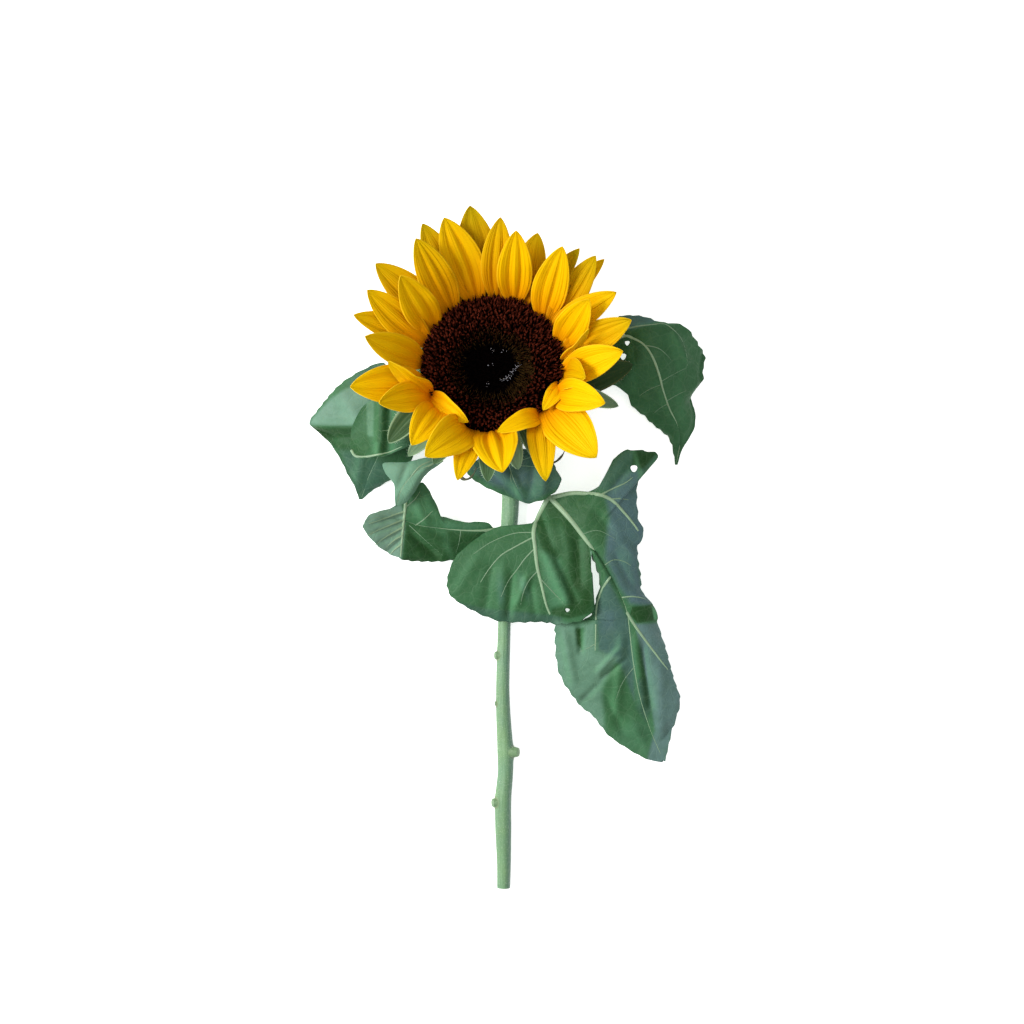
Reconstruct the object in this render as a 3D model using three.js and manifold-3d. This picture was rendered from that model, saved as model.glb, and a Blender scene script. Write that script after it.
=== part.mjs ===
// A cut sunflower that lies on a flat surface, in millimetres, +Z up.
// The stem lies along Y with its cut end towards -Y. The neck turns up behind the head, which faces the
// sky and leans a little towards +Y. Leaves hang from the stem and the neck, and some of them touch the
// surface at Z = 0. The origin is on the surface, under the middle of the whole flower.
import * as THREE from 'three';
import { mergeVertices } from 'three/addons/utils/BufferGeometryUtils.js';
import Module from 'manifold-3d';

const wasm = await Module();
wasm.setup();

// ---- Driving dimensions ----
const HEAD_CENTRE = new THREE.Vector3(-7, 95, 34); // middle of the plane that carries the florets
const HEAD_TILT = THREE.MathUtils.degToRad(15); // lean of the head's axis from the vertical, towards +Y
const DISC_RADIUS = 34.3;
const DISC_HEIGHT = 7; // of the raised outer florets over the plane that carries them
const FLORET_RELIEF = 0.55;
const CUP_RADIUS = 37;
const CUP_DEPTH = 16;
const PETAL_LENGTH = 46;
const PETAL_WIDTH = 17;
const PETAL_THICKNESS = 0.7;
const PETAL_ROOT_RADIUS = 35.4;
const PETAL_ROOT_HEIGHT = { front: 2.1, back: 1.0 };
const BRACT_THICKNESS = 0.8;
const LEAF_THICKNESS = 0.8;
const RIB_DEPTH = 1; // how far the midrib stands out below the foot of a leaf's blade
const PLACES = 400; // steps along a midrib in which a blade's length is measured
const SETTLE = 1.6; // leaves that would hang less than this over the surface lie on it
const NECK_RADIUS = 4.9; // radius of the stem where it turns up behind the head
const NECK_BEND = 16.5; // radius of that turn, to the middle of the stem
const NECK_LEAD = 1.2; // straight length between the head and the turn
const SEAT = 0.3; // clearance between pieces that touch

// ---- Frame of the head: x to the right, y away from the stem, z along the head's axis ----
const headFrame = new THREE.Matrix4()
  .makeTranslation(HEAD_CENTRE)
  .multiply(new THREE.Matrix4().makeRotationX(-HEAD_TILT));

function headPoint(radius, bearing, height) {
  const x = radius * Math.cos(bearing);
  const y = radius * Math.sin(bearing);
  return new THREE.Vector3(x, y, height).applyMatrix4(headFrame);
}

// ---- Closed surfaces ----
function closedGeometry(points, faces) {
  const geometry = new THREE.BufferGeometry();
  const coordinates = points.flatMap((point) => point.toArray());
  geometry.setAttribute('position', new THREE.Float32BufferAttribute(coordinates, 3));
  geometry.setIndex(faces.flat());
  return geometry;
}

// A thin blade: under(u, v) gives the point of its lower face and the step from there to its upper face,
// for u from root to tip and v from -1 to 1 across. Both faces are split into triangles alike, and a
// crowding over 1 draws the rows together towards the tip.
function bladeGeometry(under, rows, columns, tipCrowding = 1) {
  const points = [];
  const faces = [];
  const stride = columns + 1;
  const layer = (rows + 1) * stride;
  const steps = [];
  for (let i = 0; i <= rows; i += 1) {
    for (let j = 0; j <= columns; j += 1) {
      const { point, step } = under(1 - (1 - i / rows) ** tipCrowding, (2 * j) / columns - 1);
      points.push(point);
      steps.push(step);
    }
  }
  for (let k = 0; k < layer; k += 1) {
    points.push(points[k].clone().add(steps[k]));
  }
  const quad = (a, b, c, d) => faces.push([a, b, c], [a, c, d]);
  for (let i = 0; i < rows; i += 1) {
    for (let j = 0; j < columns; j += 1) {
      const a = i * stride + j;
      const b = a + 1;
      const c = a + stride + 1;
      const d = a + stride;
      quad(a + layer, d + layer, c + layer, b + layer);
      faces.push([a, c, d], [a, b, c]);
    }
  }
  for (let i = 0; i < rows; i += 1) {
    const left = i * stride;
    const right = left + columns;
    quad(left, left + stride, left + stride + layer, left + layer);
    quad(right, right + layer, right + stride + layer, right + stride);
  }
  for (let j = 0; j < columns; j += 1) {
    const tip = rows * stride + j;
    quad(j, j + layer, j + 1 + layer, j + 1);
    quad(tip, tip + 1, tip + 1 + layer, tip + layer);
  }
  return closedGeometry(points, faces);
}

// A round stalk along a curve, with its own radius at each place and nothing below the surface.
function stalkGeometry(curve, radiusAt, steps, sides) {
  const points = [];
  const faces = [];
  const up = new THREE.Vector3(0, 0, 1);
  for (let i = 0; i <= steps; i += 1) {
    const t = i / steps;
    const centre = curve.getPointAt(t);
    const along = curve.getTangentAt(t);
    const side = new THREE.Vector3().crossVectors(along, up).normalize();
    const over = new THREE.Vector3().crossVectors(side, along);
    const radius = radiusAt(t, centre);
    for (let j = 0; j < sides; j += 1) {
      const turn = (2 * Math.PI * j) / sides;
      const point = centre.clone()
        .addScaledVector(side, radius * Math.sin(turn))
        .addScaledVector(over, -radius * Math.cos(turn));
      point.z = Math.max(point.z, 0);
      points.push(point);
    }
  }
  for (let i = 0; i < steps; i += 1) {
    for (let j = 0; j < sides; j += 1) {
      const a = i * sides + j;
      const b = i * sides + ((j + 1) % sides);
      faces.push([a, b + sides, b], [a, a + sides, b + sides]);
    }
  }
  const last = steps * sides;
  for (let j = 1; j < sides - 1; j += 1) {
    faces.push([0, j, j + 1], [last, last + j + 1, last + j]);
  }
  return closedGeometry(points, faces);
}

// ---- Solids ----
function solidFrom(geometry) {
  const bare = geometry.clone();
  bare.deleteAttribute('normal');
  bare.deleteAttribute('uv');
  const merged = mergeVertices(bare, 1e-4);
  return new wasm.Manifold(new wasm.Mesh({
    numProp: 3,
    vertProperties: new Float32Array(merged.attributes.position.array),
    triVerts: new Uint32Array(merged.index.array),
  }));
}

// One body from many that cross: hollows that the crossing seals are filled and loose scraps are left out.
function join(solids) {
  const pieces = solids.reduce((whole, solid) => whole.add(solid)).decompose();
  return pieces.reduce((largest, piece) => (piece.volume() > largest.volume() ? piece : largest));
}

function meshFrom(name, solid, colour, roughness) {
  const { vertProperties, triVerts } = solid.getMesh();
  const geometry = new THREE.BufferGeometry();
  geometry.setAttribute('position', new THREE.BufferAttribute(vertProperties, 3));
  geometry.setIndex(new THREE.BufferAttribute(triVerts, 1));
  geometry.computeVertexNormals();
  const material = new THREE.MeshStandardMaterial({ color: colour, roughness, metalness: 0 });
  const mesh = new THREE.Mesh(geometry, material);
  mesh.name = name;
  return mesh;
}

// Seeded random numbers from 0 to 1, alike on every run.
function randomFrom(seed) {
  let state = seed;
  return () => {
    state = (state * 1664525 + 1013904223) % 4294967296;
    return state / 4294967296;
  };
}

// ---- Stem ----
// Places along the lying stem from the head to the cut end: x, y and radius. It lies on the surface,
// so the height of its middle is its radius.
const LYING_STEM = [
  [-3.6, 60, 4.8],
  [0.4, 49, 4.7],
  [1.8, 38, 4.6],
  [1.6, 22, 4.5],
  [0, -6, 3.8],
  [-1.4, -38, 3.3],
  [-2.2, -69, 3.5],
  [-1.8, -86, 3.8],
  [-0.9, -103, 4.2],
  [-0.8, -114, 4.0],
  [-2, -128, 4.3],
  [-2, -143, 4.2],
  [-1.6, -162, 3.6],
  [-1.8, -173.6, 3.4],
];
// What cut and fallen leaves left on the stem: y, the turn round the stem from its +X side, and how far
// each stub stands out.
const LEAF_SCARS = [
  { y: -53, turn: 165, length: 1.2, radius: 2.2 },
  { y: -78, turn: 170, length: 0.7, radius: 1.3 },
  { y: -103, turn: 20, length: 3.2, radius: 2.6 },
  { y: -129, turn: 160, length: 1.6, radius: 2.4 },
];

function neckPoint(lean) {
  const top = headPoint(0, 0, -CUP_DEPTH - SEAT - NECK_LEAD);
  const y = top.y + NECK_BEND * (Math.cos(lean) - Math.cos(HEAD_TILT));
  const z = top.z - NECK_BEND * (Math.sin(lean) - Math.sin(HEAD_TILT));
  return new THREE.Vector3(top.x, y, z);
}

const stemCurve = new THREE.CatmullRomCurve3([
  headPoint(0, 0, -CUP_DEPTH - SEAT),
  ...[0, 0.25, 0.5, 0.75, 1].map((share) => neckPoint(HEAD_TILT + share * (Math.PI / 2 - HEAD_TILT))),
  ...LYING_STEM.map(([x, y, radius]) => new THREE.Vector3(x, y, radius)),
], false, 'centripetal');

function stemRadius(y) {
  if (y >= LYING_STEM[0][1]) {
    return NECK_RADIUS;
  }
  const next = Math.max(1, LYING_STEM.findIndex((place) => place[1] <= y));
  const [, y0, r0] = LYING_STEM[next - 1];
  const [, y1, r1] = LYING_STEM[next];
  return THREE.MathUtils.mapLinear(THREE.MathUtils.clamp(y, y1, y0), y0, y1, r0, r1);
}

// The place on the stem's middle that is nearest to a given y on its lying stretch.
function stemCentre(y) {
  const samples = 600;
  let best = stemCurve.getPointAt(0);
  for (let i = 1; i <= samples; i += 1) {
    const point = stemCurve.getPointAt(i / samples);
    if (Math.abs(point.y - y) < Math.abs(best.y - y)) {
      best = point;
    }
  }
  return best;
}

function stemDirection(turnInDegrees) {
  const turn = THREE.MathUtils.degToRad(turnInDegrees);
  return new THREE.Vector3(Math.cos(turn), 0, Math.sin(turn));
}

function buildStem() {
  const body = stalkGeometry(stemCurve, (t, centre) => stemRadius(centre.y), 34, 10);
  const scars = LEAF_SCARS.map(({ y, turn, length, radius }) => {
    const centre = stemCentre(y);
    const out = stemDirection(turn);
    const reach = stemRadius(y) + length;
    const curve = new THREE.LineCurve3(centre, centre.clone().addScaledVector(out, reach));
    return stalkGeometry(curve, (t) => radius * (1.25 - 0.35 * t), 2, 8);
  });
  return meshFrom('stem', join([body, ...scars].map(solidFrom)), 0x8cb478, 0.6);
}

// ---- Blades of the head: petals and bracts ----
// The spine of a blade is an arc. It starts at root, heads for bearing in plan, climbs by rise on
// average and turns down by curl from root to tip. turn rolls the blade about its spine.
function arcBlade({ root, bearing, rise, curl, length, width, outline, cup, turn, thickness }) {
  const start = rise + curl / 2;
  const ahead = new THREE.Vector3(Math.cos(bearing), Math.sin(bearing), 0);
  const level = new THREE.Vector3(-Math.sin(bearing), Math.cos(bearing), 0);
  const up = new THREE.Vector3(0, 0, 1);
  return (u, v) => {
    const slope = start - curl * u;
    const run = (length * (Math.sin(start) - Math.sin(slope))) / curl;
    const climb = (length * (Math.cos(slope) - Math.cos(start))) / curl;
    const along = ahead.clone().multiplyScalar(Math.cos(slope)).addScaledVector(up, Math.sin(slope));
    const across = level.clone().applyAxisAngle(along, turn * Math.min(1, 1.6 * u));
    const face = new THREE.Vector3().crossVectors(along, across);
    const half = (width / 2) * outline(u);
    const point = root.clone()
      .addScaledVector(ahead, run)
      .addScaledVector(up, climb)
      .addScaledVector(across, v * half)
      .addScaledVector(face, cup * half * v * v);
    const step = face.multiplyScalar(thickness);
    if (point.z < 0) {
      point.z = 0;
      step.set(0, 0, thickness);
    }
    return { point, step };
  };
}

// A blunt petal with its greatest width past the middle, and a pointed bract that is widest at its foot.
function petalOutline(u) {
  const widest = 0.45;
  if (u < widest) {
    return 0.42 + 0.58 * Math.sin((Math.PI / 2) * (u / widest));
  }
  return Math.max(0.04, (1 - ((u - widest) / (1 - widest)) ** 2) ** 0.75);
}

const bractOutline = (u) => Math.max(0.05, (1 - u) ** 0.7 * (0.62 + 1.3 * u));

// ---- Ray petals ----
// Each petal: bearing and reach of its tip in plan from the hub, in degrees and millimetres, then what
// departs from a plain petal. foot is the bearing of its root.
const PETAL_HUB = new THREE.Vector3(-7, 93.2, 0);
const RAY_PETALS = [
  { bearing: 5.8, reach: 64, width: 17, length: 42, foot: 351 },
  { bearing: 18, reach: 71.5, ring: 'back', foot: 9 },
  { bearing: 21, reach: 50.5, width: 9, length: 32, turn: 65, foot: 360 },
  { bearing: 30.5, reach: 70.5, ring: 'back', width: 15 },
  { bearing: 34, reach: 57, foot: 18, width: 16.5, length: 40 },
  { bearing: 44, reach: 77, ring: 'back', width: 11 },
  { bearing: 47, reach: 74.5, width: 15, foot: 36 },
  { bearing: 53.5, reach: 72, ring: 'back', width: 12 },
  { bearing: 59.5, reach: 67.5, width: 18, foot: 44 },
  { bearing: 71.5, reach: 68.5, ring: 'back', width: 17, foot: 66 },
  { bearing: 80, reach: 67, width: 18, foot: 72 },
  { bearing: 87, reach: 74, ring: 'back', width: 16 },
  { bearing: 98, reach: 81, ring: 'back', width: 21, length: 50 },
  { bearing: 108, reach: 77.5, width: 21, length: 48, foot: 104 },
  { bearing: 116, reach: 79.5, ring: 'back', length: 48 },
  { bearing: 121, reach: 73, width: 18, foot: 126, length: 47 },
  { bearing: 136, reach: 62, width: 18, foot: 148 },
  { bearing: 138.5, reach: 77.5, ring: 'back', width: 18 },
  { bearing: 149, reach: 71.5, width: 17, foot: 160 },
  { bearing: 160, reach: 72.5, ring: 'back', width: 14 },
  { bearing: 168, reach: 63, width: 16, foot: 178 },
  { bearing: 178, reach: 50.5, width: 13, length: 38, turn: -55, foot: 208 },
  { bearing: 189, reach: 70, width: 20, ring: 'back', foot: 198 },
  { bearing: 199.5, reach: 58, width: 16, length: 42, foot: 207 },
  { bearing: 225.5, reach: 55.5, length: 40, foot: 220, curl: 60 },
  { bearing: 234.5, reach: 55.5, width: 20, length: 44, curl: 70, foot: 248 },
  { bearing: 247, reach: 30, width: 11, length: 30, curl: 60, turn: 35, foot: 208 },
  { bearing: 253.5, reach: 59, ring: 'back', width: 13, length: 42, curl: 50 },
  { bearing: 275.5, reach: 53, width: 23, length: 39, curl: 60, foot: 269 },
  { bearing: 274, reach: 33, width: 11, length: 32, curl: 80, turn: 25, foot: 311 },
  { bearing: 294.5, reach: 62.5, ring: 'back', width: 14, length: 44, curl: 50, foot: 310 },
  { bearing: 318, reach: 68, width: 23, length: 46, curl: 45, foot: 321 },
  { bearing: 319, reach: 33, width: 9, length: 22, curl: 70, turn: 20, foot: 343 },
  { bearing: 340.5, reach: 58, width: 17, length: 42, curl: 50, foot: 333 },
  { bearing: 352, reach: 46, ring: 'back', length: 30 },
];
const PLAIN_PETAL = { ring: 'front', length: PETAL_LENGTH, width: PETAL_WIDTH, turn: 0, curl: 24, cup: 0.22 };
const PETAL_GRID = { rows: 5, columns: 2, crowding: 1.4 };

// The climb that brings a petal's tip to its place in plan, worked out from the chord of its spine.
function petalBlade(row) {
  const petal = { ...PLAIN_PETAL, foot: row.bearing, ...row };
  const foot = THREE.MathUtils.degToRad(petal.foot);
  const curl = THREE.MathUtils.degToRad(petal.curl);
  const root = headPoint(PETAL_ROOT_RADIUS, foot, PETAL_ROOT_HEIGHT[petal.ring]);
  const tipBearing = THREE.MathUtils.degToRad(petal.bearing);
  const dx = PETAL_HUB.x + petal.reach * Math.cos(tipBearing) - root.x;
  const dy = PETAL_HUB.y + petal.reach * Math.sin(tipBearing) - root.y;
  const chord = (petal.length * Math.sin(curl / 2)) / (curl / 2);
  const run = Math.min(Math.hypot(dx, dy), 0.99 * chord);
  return arcBlade({
    root,
    bearing: Math.atan2(dy, dx),
    rise: Math.acos(run / chord),
    curl,
    length: petal.length,
    width: petal.width,
    outline: petalOutline,
    cup: petal.cup,
    turn: THREE.MathUtils.degToRad(petal.turn),
    thickness: PETAL_THICKNESS,
  });
}

// A narrow ring on the rim of the cup, which all petals grow from.
function petalRing() {
  const inner = DISC_RADIUS + SEAT;
  const profile = [
    [inner, SEAT],
    [CUP_RADIUS, SEAT],
    [CUP_RADIUS, 2.2],
    [inner, 3],
    [inner, SEAT],
  ].map(([radius, height]) => new THREE.Vector2(radius, height));
  return new THREE.LatheGeometry(profile, 36).rotateX(Math.PI / 2).applyMatrix4(headFrame);
}

// The room that the florets take, which the petals that fold inward stay out of.
function discRoom() {
  const edge = DISC_RADIUS + SEAT;
  const top = DISC_HEIGHT + FLORET_RELIEF + SEAT;
  const profile = [[0, -1], [edge, -1], [edge, 4.4], [edge - 2, top], [0, top]];
  const corners = profile.map(([radius, height]) => new THREE.Vector2(radius, height));
  return new THREE.LatheGeometry(corners, 36).rotateX(Math.PI / 2).applyMatrix4(headFrame);
}

function buildRayPetals() {
  const { rows, columns, crowding } = PETAL_GRID;
  const blades = RAY_PETALS.map((row) => bladeGeometry(petalBlade(row), rows, columns, crowding));
  const grown = [petalRing(), ...blades].map(solidFrom);
  const room = solidFrom(discRoom());
  return meshFrom('ray_petals', join(grown.map((solid) => solid.subtract(room))), 0xf2b705, 0.55);
}

// ---- Bract cup: the green back of the head with its pointed bracts ----
const CUP_PROFILE = [
  [0, 0],
  [CUP_RADIUS, 0],
  [CUP_RADIUS - 0.6, -2],
  [31, -6],
  [24, -10.5],
  [14, -14],
  [6.5, -CUP_DEPTH],
  [0, -CUP_DEPTH],
];
const BRACT_ROWS = [
  { count: 13, radius: 34, height: -2.7, length: 21, width: 12, rise: -8, droop: 0, first: 8 },
  { count: 12, radius: 31.5, height: -5, length: 25, width: 13, rise: -20, droop: 26, first: 30 },
  { count: 8, radius: 26, height: -9, length: 17, width: 12, rise: -34, droop: 8, first: 15 },
];
// Bracts that reach further than their row.
const LONG_BRACTS = [
  { bearing: 342, length: 33 },
  { bearing: 226, length: 29 },
  { bearing: 268, length: 20 },
];
// Bracts that stand away from the rows and head their own way.
const LOOSE_BRACTS = [
  { bearing: 338, heading: 20, radius: 33, height: -5.4, length: 44, width: 19, rise: -10, cup: 0.2, turn: 12 },
  { bearing: 207, heading: 225, radius: 33, height: -5.6, length: 33, width: 19, rise: 4, cup: 0.5, turn: 24 },
  { bearing: 322, heading: 344, radius: 34, height: -5, length: 22, width: 14, rise: -6, cup: 0.3, turn: 0 },
];
const BRACT_GRID = { rows: 3, columns: 2 };

function bractBlade(row, index, random) {
  const bearing = THREE.MathUtils.degToRad(row.first + (360 * index) / row.count + 6 * (random() - 0.5));
  const away = Math.max(0, Math.sin(bearing)); // 1 on the side of the head that leans to the surface
  const tilt = HEAD_TILT * Math.sin(bearing);
  const long = LONG_BRACTS.find((one) => {
    const apart = Math.abs(THREE.MathUtils.degToRad(one.bearing) - (bearing % (2 * Math.PI)));
    return row === BRACT_ROWS[0] && apart < Math.PI / row.count;
  });
  return arcBlade({
    root: headPoint(row.radius, bearing, row.height),
    bearing,
    rise: THREE.MathUtils.degToRad(row.rise - row.droop * away) - tilt,
    curl: 0.5 + 0.2 * random(),
    length: long ? long.length : row.length * (0.92 + 0.2 * random() + (row.droop > 20 ? 0.25 * away : 0)),
    width: row.width,
    outline: bractOutline,
    cup: 0.2,
    turn: 0.4 * (random() - 0.5),
    thickness: BRACT_THICKNESS,
  });
}

function looseBractBlade(row) {
  return arcBlade({
    root: headPoint(row.radius, THREE.MathUtils.degToRad(row.bearing), row.height),
    bearing: THREE.MathUtils.degToRad(row.heading),
    rise: THREE.MathUtils.degToRad(row.rise),
    curl: 0.5,
    length: row.length,
    width: row.width,
    outline: bractOutline,
    cup: row.cup,
    turn: THREE.MathUtils.degToRad(row.turn),
    thickness: BRACT_THICKNESS,
  });
}

function buildBractCup() {
  const random = randomFrom(7);
  const profile = CUP_PROFILE.map(([radius, height]) => new THREE.Vector2(radius, height)).reverse();
  const cup = new THREE.LatheGeometry(profile, 26).rotateX(Math.PI / 2).applyMatrix4(headFrame);
  const inRows = BRACT_ROWS.flatMap((row) => (
    Array.from({ length: row.count }, (_, index) => bractBlade(row, index, random))));
  const bracts = [...inRows, ...LOOSE_BRACTS.map(looseBractBlade)].map((blade) => (
    bladeGeometry(blade, BRACT_GRID.rows, BRACT_GRID.columns)));
  return meshFrom('bract_cup', join([cup, ...bracts].map(solidFrom)), 0x6f9455, 0.75);
}

// ---- Floret disc ----
// Rings from the sunken middle to the raised outer florets: radius and height over the cup.
const DISC_PROFILE = [
  [3, 2.6],
  [6, 2.7],
  [9, 3],
  [12, 3.5],
  [15, 4.3],
  [18, 5.1],
  [21, 5.9],
  [24, 6.5],
  [27, 6.9],
  [29.6, DISC_HEIGHT],
  [32.4, 6.2],
  [DISC_RADIUS, 3.4],
];

function buildDisc() {
  const sectors = 48;
  const points = [headPoint(0, 0, DISC_PROFILE[0][1])];
  const faces = [];
  DISC_PROFILE.forEach(([radius, height], ring) => {
    for (let k = 0; k < sectors; k += 1) {
      const bearing = (2 * Math.PI * (k + ring / 2)) / sectors;
      const relief = (k + ring) % 2 ? FLORET_RELIEF : -FLORET_RELIEF;
      const edge = ring === DISC_PROFILE.length - 1;
      points.push(headPoint(radius, bearing, height + (edge ? 0 : relief * Math.min(1, radius / 18))));
    }
  });
  const rings = DISC_PROFILE.length;
  for (let k = 0; k < sectors; k += 1) {
    const bearing = (2 * Math.PI * (k + (rings - 1) / 2)) / sectors;
    points.push(headPoint(DISC_RADIUS, bearing, SEAT));
  }
  points.push(headPoint(0, 0, SEAT));
  const at = (ring, k) => 1 + ring * sectors + (k % sectors);
  for (let k = 0; k < sectors; k += 1) {
    faces.push([0, at(0, k), at(0, k + 1)]);
    for (let ring = 0; ring < rings; ring += 1) {
      faces.push([at(ring, k), at(ring + 1, k), at(ring, k + 1)]);
      faces.push([at(ring, k + 1), at(ring + 1, k), at(ring + 1, k + 1)]);
    }
    faces.push([points.length - 1, at(rings, k + 1), at(rings, k)]);
  }
  return meshFrom('disc', solidFrom(closedGeometry(points, faces)), 0x3a1d0e, 0.9);
}

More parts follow.
